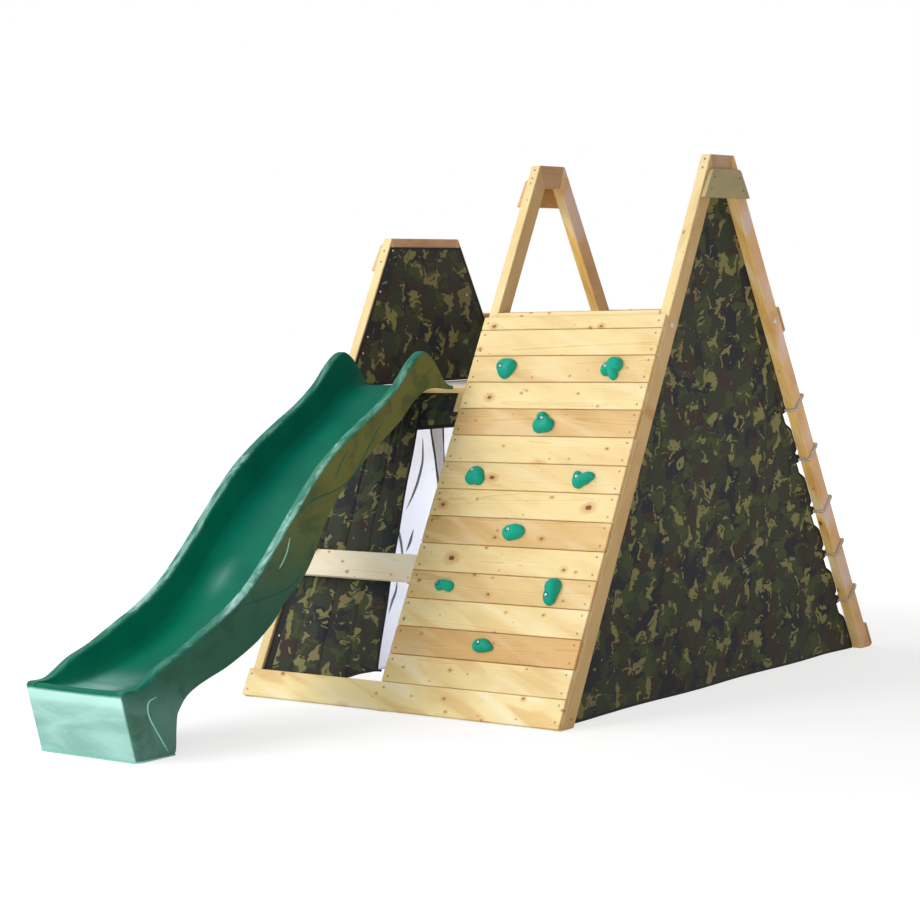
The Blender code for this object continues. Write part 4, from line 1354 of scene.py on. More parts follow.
    def flange(self) -> Piece:
        """Makes the thin flange round the foot's base.

        Returns:
            The piece.
        """
        reach, bend, z = self.width_foot / 2 + 0.0005, self.corner, self.flange_height
        front, back = self.y_at(1.0, 0.0) - 0.0005, self.y_at(self.flange_start, 0.0)
        side = [Vector((reach, back, z))]
        for k in range(9):
            angle = math.pi / 2 * k / 8
            side.append(Vector((reach - bend + bend * math.cos(angle),
                                front + bend - bend * math.sin(angle), z)))
        other = [Vector((-p.x, p.y, p.z)) for p in reversed(side)]
        path = Path([p + Vector((self.centre, 0, 0)) for p in side + other], fine=1)
        path.lay(Vector((0, 0, 1)))
        mesh = bmesh.new()
        tube(mesh, path, lambda angle, at: self.flange_radius, 10, 0.45)
        return add_piece("slide_base_flange", mesh, [self.scuffed.material()], Slot.SLIDE)

    def lines(self) -> None:
        """Makes the fine lines moulded into both outer walls."""
        for name, finish, radius, tracks in (
            ("slide_moulded_lines", self.dark_line, 0.0019, self.grooves),
            ("slide_panel_edges", self.scuffed, 0.0027, self.edges),
        ):
            mesh = bmesh.new()
            for side in (1, -1):
                for track in tracks:
                    points = []
                    for y, z in track:
                        half = self.half((self.start - y) / self.run)
                        points.append(Vector((self.centre + side * (half + 0.0002), y, z)))
                    path = Path(points)
                    span = path.length
                    tube(mesh, path, lambda angle, at, r=radius, s=span: r * (
                        0.35 + 0.65 * min(1.0, 6 * at / s, 6 * (s - at) / s + 0.01)), 8)
            add_piece(name, mesh, [finish.material()], Slot.SLIDE)

    def wear(self, at: Vector) -> Triple:
        """How worn the plastic is at a place, and where reflection and sheen are painted.

        Args:
            at: A point of the shell.

        Returns:
            Shares for a worn rim, an outer wall, which takes a painted reflection, and the paler
            front of the foot together with the bed's painted sheen.
        """
        share = clamp((self.start - at.y) / self.run)
        half = self.half(share)
        off = at.x - self.centre
        across = abs(off)
        bed, wall = self.bed(share), self.wall(share)
        on_rim = smooth(half - self.rim - 0.004, half - self.rim + 0.004, across)
        on_rim *= smooth(bed + wall - 0.012, bed + wall - 0.004, at.z)
        outer = smooth(half - 0.012, half - 0.006, across) * (1 - on_rim)
        front = smooth(0.006, 0.0, at.y - self.y_at(1.0, at.z)) * smooth(0.214, 0.204, at.z)
        # The bed's painted sheen, in place of reflections of the white surroundings: one field
        # above the foot, and one half way up
        painted_bed_sheen = 0.55 * smooth(0.78, 0.90, share) * smooth(0.17, 0.05, abs(off + 0.02))
        painted_bed_sheen *= smooth(0.99, 0.965, share)
        painted_bed_sheen += 0.45 * math.exp(-((share - 0.57) / 0.035) ** 2 - ((off + 0.05) / 0.045) ** 2)
        painted_bed_sheen *= smooth(bed + 0.03, bed + 0.01, at.z) * (1 - outer) * (at.z > bed - 0.01)
        return on_rim, outer * (1 - front), max(front, painted_bed_sheen)


@dataclass
class Holds:
    """The nine moulded climbing holds and their bolts."""

    turns: int = 72
    rings: int = 40
    # The share of the rings that makes the dome; the others close the flat back
    dome: float = 0.82
    # Lumps to the metre, and the depth and radius of the dent round a bolt
    lumps: float = 34.0
    dent: Spot = (0.010, 0.0085)
    least: float = 0.0015
    finish: MouldedPlastic = MouldedPlastic(
        srgb(16, 170, 142), srgb(96, 204, 184), srgb(6, 130, 110), 0.46, 0.20, "hold_plastic"
    )
    zinc: Zinc = Zinc(name="hold_bolt_zinc")
    bolt: Head = Head(0.0052, 0.0046, 18, 0.5)
    # For each hold: the blobs that make its outline (across, up, radius), its height, and
    # its bolt's place, in millimetres from the middle of the CAD hold
    shapes: tuple[tuple[tuple[Triple, ...], float, Spot], ...] = (
        (((-10, 10, 27), (14, 12, 26), (2, -12, 24)), 33, (-9, 2)),
        (((10, 14, 28), (-18, -2, 20), (-24, -12, 13), (14, -26, 15)), 32, (-15, 1)),
        (((-14, -14, 24), (16, -8, 26), (-10, 22, 17)), 33, (2, 8)),
        (((0, 6, 28), (-16, -12, 20), (16, -12, 21)), 31, (-6, 14)),
        (((-14, -10, 23), (-24, 14, 14), (12, 2, 18), (30, 12, 13)), 30, (-14, 2)),
        (((-12, -2, 26), (14, 4, 25), (26, 6, 17)), 32, (-8, 4)),
        (((-21, -1, 18), (-2, 3, 16), (19, -2, 19)), 25, (-21, 3)),
        (((2, 22, 27), (-2, -22, 22), (2, 0, 20)), 34, (-4, -16)),
        (((-16, 2, 22), (6, 4, 22), (24, 0, 14), (36, -2, 8)), 29, (-6, 8)),
    )

    def outline(self, blobs: Sequence[Triple], angle: float) -> float:
        """How far a hold reaches from its middle at an angle.

        Args:
            blobs: Its round lobes.
            angle: The direction.

        Returns:
            The distance in metres.
        """
        low, high = 0.0, 90.0
        for _ in range(22):
            mid = (low + high) / 2
            x, y = mid * math.cos(angle), mid * math.sin(angle)
            strength = sum(math.exp(-2.2 * (((x - a) ** 2 + (y - b) ** 2) / r ** 2 - 1))
                           for a, b, r in blobs)
            low, high = (mid, high) if strength > 1 else (low, mid)
        return low / MILLIMETRES

    @staticmethod
    def spot(number: int) -> Spot:
        """The middle of a CAD hold: its x, and its distance up the legs."""
        middle = sum(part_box(f"hold_{number}"), Vector()) / 2
        foot = SLOPE.point(Side.FRONT, 0, 0)
        return middle.x, (middle - foot).dot(FRONT_UP)

    def hold(self, number: int) -> Piece:
        """Makes one hold.

        Args:
            number: Its number, from 1.

        Returns:
            The piece.
        """
        blobs, height, bolt = self.shapes[number - 1]
        height /= MILLIMETRES
        up, out = FRONT_UP, FRONT_OUT
        x, along = self.spot(number)
        base = SLOPE.point(Side.FRONT, along, SIZES.board_thickness + 0.0006, x)
        spread = [self.outline(blobs, 2 * math.pi * k / self.turns)
                  for k in range(self.turns + 1)]

        def place(u: float, v: float) -> Vector:
            """A point of the dome, or of its flat back."""
            reach = spread[round(u * self.turns)]
            angle = 2 * math.pi * u
            edge = min(1.0, v / self.dome)
            back = max(0.0, (v - self.dome) / (1 - self.dome))
            ring = math.sin(edge * math.pi / 2) ** 0.9 * (1 - back)
            x, y = reach * ring * math.cos(angle), reach * ring * math.sin(angle)
            rise = 0.0
            if back == 0.0:
                lift = max(0.0, 1 - ring ** 3.4) ** 0.55
                at = Vector((x * self.lumps, y * self.lumps, number * 7.7))
                lumpy = 0.86 + 0.20 * noise.noise(at)
                rise = height * lift * lumpy * (1 + 2.2 * y) + 0.10 * height * (edge < 1)
                away = math.hypot(x - bolt[0] / MILLIMETRES, y - bolt[1] / MILLIMETRES)
                rise -= self.dent[0] * math.exp(-(away / self.dent[1]) ** 4)
                rise = max(rise, self.least)
            return base + RIGHT * x + up * y + out * rise

        mesh = mapped_grid(self.turns, self.rings, place, seam=True)
        bmesh.ops.remove_doubles(mesh, verts=mesh.verts, dist=1e-5)
        return add_piece(f"moulded_hold_{number}", mesh, [self.surface], Slot.HOLD,
                         [f"hold_{number}"])

    def bolts(self) -> Piece:
        """Makes the socket-headed bolts that hold them."""
        mesh = bmesh.new()
        for number, (_, height, bolt) in enumerate(self.shapes, start=1):
            x, along = self.spot(number)
            base = SLOPE.point(Side.FRONT, along + bolt[1] / MILLIMETRES,
                               SIZES.board_thickness + 0.72 * height / MILLIMETRES,
                               x + bolt[0] / MILLIMETRES)
            self.bolt.add(mesh, base, FRONT_OUT)
        return add_piece("hold_bolts", mesh, [self.zinc.material()], Slot.ZINC,
                         shade_smooth=False)

    def build(self) -> int:
        """Makes the holds and their bolts, and returns how many pieces that is."""
        self.surface = self.finish.material()
        for number in range(1, len(self.shapes) + 1):
            self.hold(number)
        self.bolts()
        return len(self.shapes) + 1


@dataclass
class Fixings:
    """The frame's bolts, and countersunk wood screws, which show as small dark heads."""

    screw: Head = Head(0.0042, 0.0011, 12, 0.42)
    sunk: float = 0.0004
    # From the ends and edges of the wall's boards
    end: float = 0.022
    edge: float = 0.018
    # From the kick board's ends, and up it
    kick_end: float = 0.019
    kick_ups: Spot = (0.022, 0.078)
    foot: Triple = (0.671, -0.418, 0.030)
    # Down the apex plates, and in from the legs' outer face
    plate_downs: Spot = (0.028, 0.070)
    plate_in: float = 0.031
    tall_heights: Spot = (1.785, 1.815)
    low_heights: Spot = (1.505, 1.545)
    steel: Zinc = Zinc(srgb(112, 92, 68), srgb(44, 36, 28), "screw_steel", 0.7)
    zinc: Zinc = Zinc(name="frame_bolt_zinc")

    def dress_bolts(self) -> int:
        """Gives the CAD bolts their zinc, and returns how many there are."""
        material = self.zinc.material()
        found = [node for name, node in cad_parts.items() if name.endswith("_bolt")]
        for node in found:
            node.data.materials[0] = material
        return len(found)

    @staticmethod
    def on_board(along: float, x: float) -> Facing:
        """A place on the boards' front face, and the direction that it faces."""
        return SLOPE.point(Side.FRONT, along, SIZES.board_thickness, x), FRONT_OUT

    def in_wall(self) -> list[Facing]:
        """The screws at both ends of the wall's boards."""
        found = []
        for number in range(1, SIZES.board_count + 1):
            low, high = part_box(f"wall_board_{number:02d}")
            first = SIZES.board_pitch * (1 + SIZES.board_count - number)
            ups: Sequence[float] = (self.edge, SIZES.board_width - self.edge)
            if number == 1:
                ups = (SIZES.half_board_width / 2,)
            for x in (low.x + self.end, high.x - self.end):
                found += [self.on_board(first + up, x) for up in ups]
        return found

    def in_kick_board(self) -> list[Facing]:
        """The screws of the kick board, and the one beside it in the right leg's foot."""
        low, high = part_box("front_kick_board")
        left, right = low.x + self.kick_end, high.x - self.kick_end
        lower, upper = self.kick_ups
        places = ((left, lower), (left, upper), (SIZES.middle(SIZES.middle_leg), upper),
                  (right, lower), (right, upper))
        return [self.on_board(up, x) for x, up in places] + [(Vector(self.foot), RIGHT)]

    def in_plates(self) -> list[Facing]:
        """The screws of the apex plates, wherever the plate covers the leg."""
        found = []
        for name in ("right", "middle", "left"):
            low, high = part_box(f"{name}_apex_plate")
            x, way = (low.x, -RIGHT) if name == "left" else (high.x, RIGHT)
            for side in Side:
                for down in self.plate_downs:
                    z = high.z - down
                    y = SLOPE.y_at(side, z, -self.plate_in)
                    if low.y + 0.01 < y < high.y - 0.01:
                        found.append((Vector((x, y, z)), way))
        return found

    def in_legs(self) -> list[Facing]:
        """The screws through the front legs into the apex blocks."""
        found = []
        for heights, legs in ((self.tall_heights, (SIZES.right_leg, SIZES.middle_leg)),
                              (self.low_heights, (SIZES.left_leg,))):
            for height in heights:
                along = height / math.cos(SLOPE.lean)
                found += [(SLOPE.point(Side.FRONT, along, 0.0, SIZES.middle(leg)),
                           FRONT_OUT) for leg in legs]
        return found

    def build(self) -> int:
        """Makes all the screw heads as one piece, and returns how many there are."""
        mesh = bmesh.new()
        places = self.in_wall() + self.in_kick_board() + self.in_plates() + self.in_legs()
        for at, out in places:
            self.screw.add(mesh, at - out * self.sunk, out)
        add_piece("screw_heads", mesh, [self.steel.material()], Slot.ZINC, shade_smooth=False)
        return len(places)


class Held(Enum):
    """How a sheet is held."""

    STRETCHED = "stretched"
    GATHERED = "gathered"
    HUNG = "hung"


@dataclass(frozen=True)
class Cut:
    """One sheet: what it stands for, how it was cut, and how it hangs."""

    name: str
    node: str
    # Steps across and upward
    grid: tuple[int, int]
    # Greatest width and length, and flat area
    flat: Spot
    area: float
    held: Held
    rests_on: tuple[str, ...]
    # Which part of the print it is cut from, and how strong its colours are
    look: Spot
    lined: bool = False


@dataclass
class Sewing:
    """The cloths' materials, and the way their sheets, bindings and studs are made."""

    thick: float = 0.0016
    print: CamouflageCloth = CamouflageCloth()
    lining: PlainCloth = PlainCloth(srgb(228, 236, 254), srgb(200, 208, 230), name="lining")
    binding: PlainCloth = PlainCloth(srgb(26, 25, 27), srgb(44, 42, 42), 0.7, "binding")
    popper: Zinc = Zinc(srgb(206, 204, 196), srgb(150, 148, 140), "popper_metal", 0.7)
    stud: Head = Head(0.0042, 0.0026, 16, 0.45)

    def __post_init__(self) -> None:
        """Makes the materials that several pieces share."""
        self.white = self.lining.material()
        self.edging = self.binding.material()
        self.popper_metal = self.popper.material()

    @staticmethod
    def side_chart(at: Vector) -> Spot:
        """The print's coordinates on a sheet across the frame's depth."""
        return at.y, at.z

    @staticmethod
    def slope_chart(at: Vector) -> Spot:
        """The print's coordinates on a sheet in the front slope."""
        return at.x, at.z / math.cos(SLOPE.lean)

    def sheet(self, cut: Cut, place: Place, chart: Chart,
              sewn: Sequence[Piece]) -> Piece:
        """Makes a sheet.

        Args:
            cut: How it is cut and hung.
            place: Its middle plane.
            chart: Where the print lies on it.
            sewn: Its bindings, studs and whatever else is sewn on; not used.

        Returns:
            The sheet.
        """
        mesh = mapped_grid(*cut.grid, place, chart=chart)
        front = self.print.material(cut.name + "_print", *cut.look)
        back = self.white if cut.lined else front
        sheet = add_piece(cut.name, mesh, [front, back], Slot.CLOTH, [cut.node])
        add_modifier(sheet, "SOLIDIFY", thickness=self.thick, offset=0.0,
                     material_offset=1 if cut.lined else 0, material_offset_rim=0)
        list(cut.rests_on)
        return sheet

    def bound(self, name: str, tracks: Sequence[Sequence[Vector]], across: Vector,
              width: float = 0.011, thick: float = 0.0036) -> Piece:
        """Makes flat bindings along edges.

        Args:
            name: The piece's name.
            tracks: The edges.
            across: The normal of the sheet, which the binding is thin along.
            width: Its width.
            thick: Its thickness.

        Returns:
            The piece.
        """
        mesh = bmesh.new()
        for points in tracks:
            path = Path(points, fine=1)
            path.lay(across)
            tube(mesh, path, lambda angle, at: width / 2, 8, thick / width)
        return add_piece(name, mesh, [self.edging], Slot.CLOTH)

    def studs(self, name: str, places: Sequence[Vector], out: Vector) -> Piece:
        """Makes press studs.

        Args:
            name: The piece's name.
            places: Where they sit.
            out: The direction that they face.

        Returns:
            The piece.
        """
        mesh = bmesh.new()
        for at in places:
            self.stud.add(mesh, at, out)
        return add_piece(name, mesh, [self.popper_metal], Slot.ZINC)


@dataclass
class RightCover:
    """The cover on the inner face of the right frame, notched beside the net's ties."""

    sewing: Sewing
    plane: float = SIZES.right_leg[0] - 0.0013
    foot: float = 0.0012
    top: float = 1.710
    on_front_leg: float = 0.022
    rear_gap: float = 0.003
    # Heights beside a tie at which a notch starts, is full, fades and ends, and its depth
    below: tuple[float, ...] = (-0.080, -0.055, -0.016, -0.006)
    above: tuple[float, ...] = (0.006, 0.010, 0.022, 0.032)
    below_depth: float = 0.026
    above_depth: float = 0.016
    top_tuck: float = 0.010
    # Heights between which the cover lies flat on the deck's joist
    joist: Spot = (0.939, 1.080)
    ease: float = 0.15
    billow: float = 0.013
    crumple: float = 0.0012
    tab: tuple[float, ...] = (-0.022, -0.006, 0.010)
    cut: Cut = Cut("camouflage_cover", "right_side_cover", (110, 240), (1.975, 1.71), 1.80,
                   Held.STRETCHED, ("right_front_leg", "right_rear_leg"), (1.0, 1.0))

    def __post_init__(self) -> None:
        """Works out the heights of the ties on the legs' inner face."""
        self.ties = [(along - SIZES.tie_drop) * math.cos(SLOPE.lean)
                     - SIZES.leg_depth * math.sin(SLOPE.lean) for along in SIZES.ties]

    def notch(self, z: float) -> float:
        """How far the rear edge draws back beside the ties, and under the leg on top."""
        highest = max(self.ties)
        found = 0.0
        for tie in self.ties:
            found = max(found, self.below_depth * hump(z - tie, *self.below))
            if tie < highest:
                found = max(found, self.above_depth * hump(z - tie, *self.above))
        return found - self.top_tuck * smooth(highest + 0.03, highest + 0.06, z)

    def place(self, u: float, v: float) -> Vector:
        """A point of the cover."""
        z = self.foot + (self.top - self.foot) * v
        first = SLOPE.y_at(Side.FRONT, z, -self.on_front_leg)
        behind = SIZES.leg_depth + self.rear_gap + self.notch(z)
        y = first + (SLOPE.y_at(Side.REAR, z, -behind) - first) * u
        free = clamp((SLOPE.within(z, y) - 0.05) / self.ease)
        free *= clamp(max(self.joist[0] - z, z - self.joist[1]) / self.ease)
        free *= clamp((self.top - z) / (2 * self.ease))
        wave = 0.6 + 0.4 * math.sin(9 * (y - SLOPE.shift) + 2 * z)
        fold = self.crumple * noise.noise(Vector((y * 9, z * 3.2, 1.0)))
        return Vector((self.plane - self.billow * free * wave - abs(fold) * free, y, z))

    def build(self) -> list[Piece]:
        """Makes the cover with its bindings and tabs, and returns it in a list."""
        tabs = []
        for tie in self.ties:
            y = SLOPE.y_at(Side.REAR, tie, -SIZES.leg_depth)
            tabs.append([Vector((self.plane, y + d, tie + 0.2 * d)) for d in self.tab])
        lift = Vector((0, 0, 0.0045))
        foot = [at + lift for at in margin(self.place, 80)]
        bound = self.sewing.bound
        sewn = [
            bound("cover_rear_binding", [margin(self.place, 240, 1.0)], RIGHT),
            bound("cover_foot_binding", [foot], RIGHT, 0.010),
            bound("cover_tabs", tabs, RIGHT, 0.017, 0.0042),
        ]
        return [self.sewing.sheet(self.cut, self.place, self.sewing.side_chart, sewn)]


@dataclass
class LeftCloths:
    """The screen over the left deck, and the den's lined wall under it."""

    sewing: Sewing
    # Dark grey cloth for the strips that paint the lining's crease shadows
    crease_shadow: PlainCloth = PlainCloth(srgb(104, 106, 118), srgb(66, 68, 78), name="crease_shadow")
    gauze: PlainCloth = PlainCloth(srgb(158, 160, 168), srgb(96, 98, 106), name="gauze")
    plane: float = SIZES.left_leg[1] + 0.0013
    on_legs: float = 0.012
    screen_heights: Spot = (1.0512, 1.557)
    screen_billow: float = 0.009
    wall_heights: Spot = (0.0016, 1.0300)
    wall_billow: float = 0.012
    # Height of the joist's lower edge, which the wall lies flat on
    joist: float = 0.908
    crease_height: float = 0.0056
    # Places (y, z) of the press studs on the screen, the lining's creases, drawn as painted
    # shadows, and the window
    screen_studs: Line = (
        (0.352, 1.545), (0.272, 1.394), (0.193, 1.230), (0.163, 1.171), (0.796, 1.377),
    )
    creases: tuple[Line, ...] = (
        ((0.497, 0.842), (0.492, 0.800), (0.482, 0.745), (0.455, 0.672), (0.424, 0.615),
         (0.400, 0.580)),
        ((0.352, 0.540), (0.357, 0.510), (0.368, 0.470), (0.377, 0.420), (0.372, 0.380)),
        ((0.343, 0.318), (0.330, 0.278), (0.300, 0.243), (0.272, 0.203)),
        ((0.436, 0.500), (0.420, 0.455), (0.398, 0.420)),
    )
    window: Line = ((0.545, 0.915), (0.628, 0.915), (0.634, 0.640), (0.582, 0.640))
    screen_cut: Cut = Cut("deck_screen", "left_deck_screen", (80, 50), (0.95, 0.504), 0.35,
                          Held.STRETCHED, ("left_front_leg", "left_rear_leg"), (2.0, 0.94))
    wall_cut: Cut = Cut("den_wall", "left_den_wall", (120, 80), (2.03, 1.03), 1.55,
                        Held.STRETCHED, ("left_front_leg", "left_rear_leg"), (3.0, 1.0), True)

    @staticmethod
    def free(z: float, y: float) -> float:
        """How free the cloth is at a place, from 0 at the legs to 1."""
        return clamp((SLOPE.within(z, y) - 0.03) / 0.12)

    def spread(self, z: float, u: float) -> float:
        """The y at a share of the way across the left frame."""
        first = SLOPE.y_at(Side.FRONT, z, -self.on_legs)
        return first + (SLOPE.y_at(Side.REAR, z, -self.on_legs) - first) * u

    def screen(self, u: float, v: float) -> Vector:
        """A point of the screen."""
        foot, head = self.screen_heights
        z = foot + (head - foot) * v
        y = self.spread(z, u)
        free = self.free(z, y) * min(1.0, 4 * (1 - v)) * min(1.0, 3 * v)
        wave = 0.6 + 0.4 * math.sin(11 * (y - SLOPE.shift))
        return Vector((self.plane + self.screen_billow * free * wave, y, z))

    def on_wall(self, y: float, z: float, off: float = 0.0) -> Vector:
        """The point of the den's wall at a place, or a distance off it."""
        free = self.free(z, y) * clamp((self.joist - z) / 0.15)
        wave = math.sin(14 * (y - SLOPE.shift) + 3 * z)
        return Vector((self.plane + self.wall_billow * free * wave + off, y, z))

    def wall(self, u: float, v: float) -> Vector:
        """A point of the den's wall."""
        foot, head = self.wall_heights
        z = foot + (head - foot) * v
        return self.on_wall(self.spread(z, u), z)

    def pane(self, u: float, v: float) -> Vector:
        """A point of the window's gauze."""
        a, b, c, d = self.window
        y, z = ((d[k] + (a[k] - d[k]) * v) * (1 - u) + (c[k] + (b[k] - c[k]) * v) * u
                for k in (0, 1))
        return self.on_wall(y, z, 0.0034 + 0.0008 * math.sin(60 * u + 14 * v))

    def wall_crease_shadows(self) -> Piece:
        """Makes dark strips that paint the shadows of the creases in the white lining, each
        raised a little like a pinched crease.
        """
        mesh = bmesh.new()
        for track in self.creases:
            path = Path([self.on_wall(y, z, 0.0016) for y, z in track])
            path.lay(RIGHT)
            span = path.length
            tube(mesh, path, lambda angle, at, s=span: 0.0005 + self.crease_height * math.sin(
                math.pi * clamp(at / s)) ** 0.8, 8, 0.55)
        return add_piece("lining_crease_shadows", mesh, [self.crease_shadow.material()], Slot.CLOTH)

    def wall_window(self) -> list[Piece]:
        """Makes the gauze window in the den's wall and its black trim."""
        ring = margin(self.pane, 12, 0.0) + margin(self.pane, 4, v=1.0)[1:]
        ring += margin(self.pane, 12, 1.0)[-2::-1] + margin(self.pane, 4)[-2::-1]
        net = add_piece("window_gauze", mapped_grid(16, 40, self.pane, (0.08, 0.28)),
                        [self.gauze.material()], Slot.CLOTH)
        add_modifier(net, "SOLIDIFY", thickness=0.0008, offset=0.0)
        return [net, self.sewing.bound("window_trim", [ring], RIGHT, 0.0095, 0.0034)]

    def build(self) -> list[Piece]:
        """Makes the screen and the wall with all that is sewn on them, and returns both."""
        sides = [margin(self.screen, 40, u) for u in (0.0, 1.0)]
        ends = [margin(self.screen, 40, v=v) for v in (0.009, 0.992)]
        places = [Vector((self.plane + 0.0022, y, z)) for y, z in self.screen_studs]
        sewn = [self.sewing.bound("screen_side_bindings", sides, RIGHT, 0.013),
                self.sewing.bound("screen_end_bindings", ends, RIGHT, 0.009, 0.003),
                self.sewing.studs("screen_studs", places, RIGHT)]
        chart = self.sewing.side_chart
        screen = self.sewing.sheet(self.screen_cut, self.screen, chart, sewn)
        sewn = [self.wall_crease_shadows(), *self.wall_window()]
        return [screen, self.sewing.sheet(self.wall_cut, self.wall, chart, sewn)]


@dataclass
class DenFront:
    """The pleated panel beside the den's doorway, and the valance over it."""

    sewing: Sewing
    left: float = SIZES.left_leg[1] + 0.0026
    # Height of the deck's underside, which both cloths hang from
    hung: float = SIZES.deck_top - 0.018 - 0.0006
    # The free edge's distance from the left leg at the foot and on top
    foot_width: float = 0.515
    top_width: float = 0.351
    foot_lift: float = 0.035
    depth: float = 0.0125
    pleats: int = 4
    pleat_height: float = 0.0058
    seam_depth: float = 0.0022
    seam_width: float = 0.035
    # Places up the panel of its two studs
    studs: Spot = (0.231, 0.52)
    # The valance's outline from its foot up: drops from the deck, and right edges
    drops: tuple[float, ...] = (0.125, 0.093, 0.067, 0.0315, 0.0)
    rights: tuple[float, ...] = (-0.0793, -0.0793, -0.1176, -0.1176, -0.1176)
    valance_overlap: float = 0.040
    valance_depth: float = 0.030
    panel_cut: Cut = Cut("den_panel", "front_den_panel", (160, 90), (0.53, 1.118), 0.51,
                         Held.GATHERED, ("left_front_leg", "left_deck"), (4.0, 0.86), True)
    valance_cut: Cut = Cut("door_valance", "doorway_valance", (56, 16), (0.245, 0.142), 0.029,
                           Held.HUNG, ("left_deck",), (5.0, 1.0), True)

    def opening(self, z: float) -> float:
        """The x of the panel's free edge, which is drawn back at the top."""
        narrowing = (self.top_width - self.foot_width) * z / 1.032
        return SIZES.left_leg[1] + self.foot_width + narrowing

    def panel(self, u: float, v: float) -> Vector:
        """A point of the panel."""
        top = self.hung / math.cos(SLOPE.lean) - 0.008
        foot = self.foot_lift + 0.052 * smooth(0.40, 0.60, u) + 0.056 * max(0.0, u - 0.6) / 0.4
        along = foot + (top - foot) * v
        right = self.opening(along * math.cos(SLOPE.lean)) - 0.006 * math.sin(math.pi * v)
        turn = self.pleats * u + 0.12 * math.sin(2.2 * v)
        seam = abs(turn - round(turn))
        fold = self.pleat_height * math.sqrt(abs(math.sin(math.pi * turn))) - 0.0012
        fold -= self.seam_depth * math.exp(-(seam / self.seam_width) ** 2)
        fold *= min(1.0, 8 * u)
        gather = 0.0024 * math.sin(2 * math.pi * 15 * u + 5 * v) * smooth(0.62, 1.0, v)
        gather += 0.0016 * math.sin(2 * math.pi * (6 * u + 3.5 * v)) * smooth(0.1, 0.5, u)
        x = self.left + (right - self.left) * u
        out = fold + gather * min(1.0, 5 * u) - self.depth
        return SLOPE.point(Side.FRONT, along, out, x)

    def valance(self, u: float, v: float) -> Vector:
        """A point of the valance."""
        row = v * (len(self.drops) - 1)
        k = min(int(row), len(self.drops) - 2)
        drop, right = (values[k] + (values[k + 1] - values[k]) * (row - k)
                       for values in (self.drops, self.rights))
        z = self.hung - drop + 0.018 * u * (1 - v) ** 2
        first = self.opening(self.hung) - self.valance_overlap
        fold = 0.004 * math.sin(2 * math.pi * 2.5 * u + 0.8) * min(1.0, 2 * (1 - v))
        y = SLOPE.y_at(Side.FRONT, z, fold - self.valance_depth)
        return Vector((first + (right - first) * u, y, z))

    def build(self) -> list[Piece]:
        """Makes the panel and the valance with all that is sewn on them, and returns both."""
        out, bound = FRONT_OUT, self.sewing.bound
        # A black strip 47 mm wide down the panel's left edge: partly its binding, partly painted
        # shade in the gap beside the leg
        band = [SLOPE.point(Side.FRONT, 0.04 + 0.58 * k / 30, -0.0105, self.left + 0.024)
                for k in range(31)]
        seams = []
        for number in range(1, self.pleats):
            shares = [max(0.02, (number - 0.12 * math.sin(2.2 * k / 50)) / self.pleats)
                      for k in range(51)]
            seams.append([self.panel(u, k / 50) + out * 0.0012 for k, u in enumerate(shares)])
        foot = margin(self.panel, 60)
        foot.append(foot[-1] + RIGHT * 0.020 + FRONT_UP * 0.001)
        places = [SLOPE.point(Side.FRONT, along, -0.0085, self.left + 0.026)
                  for along in self.studs]
        sewn = [
            bound("panel_binding", [margin(self.panel, 60, 1.0)], out),
            bound("panel_foot_binding", [foot], out, 0.008),
            bound("panel_side_binding_and_shade", [band], out, 0.047, 0.0028),
            bound("panel_seams", seams, out, 0.0026, 0.0016),
            self.sewing.studs("panel_studs", places, out),
        ]
        chart = self.sewing.slope_chart
        panel = self.sewing.sheet(self.panel_cut, self.panel, chart, sewn)
        sewn = [bound("valance_binding", [margin(self.valance, 40)], out, 0.016, 0.0044)]
        return [panel, self.sewing.sheet(self.valance_cut, self.valance, chart, sewn)]


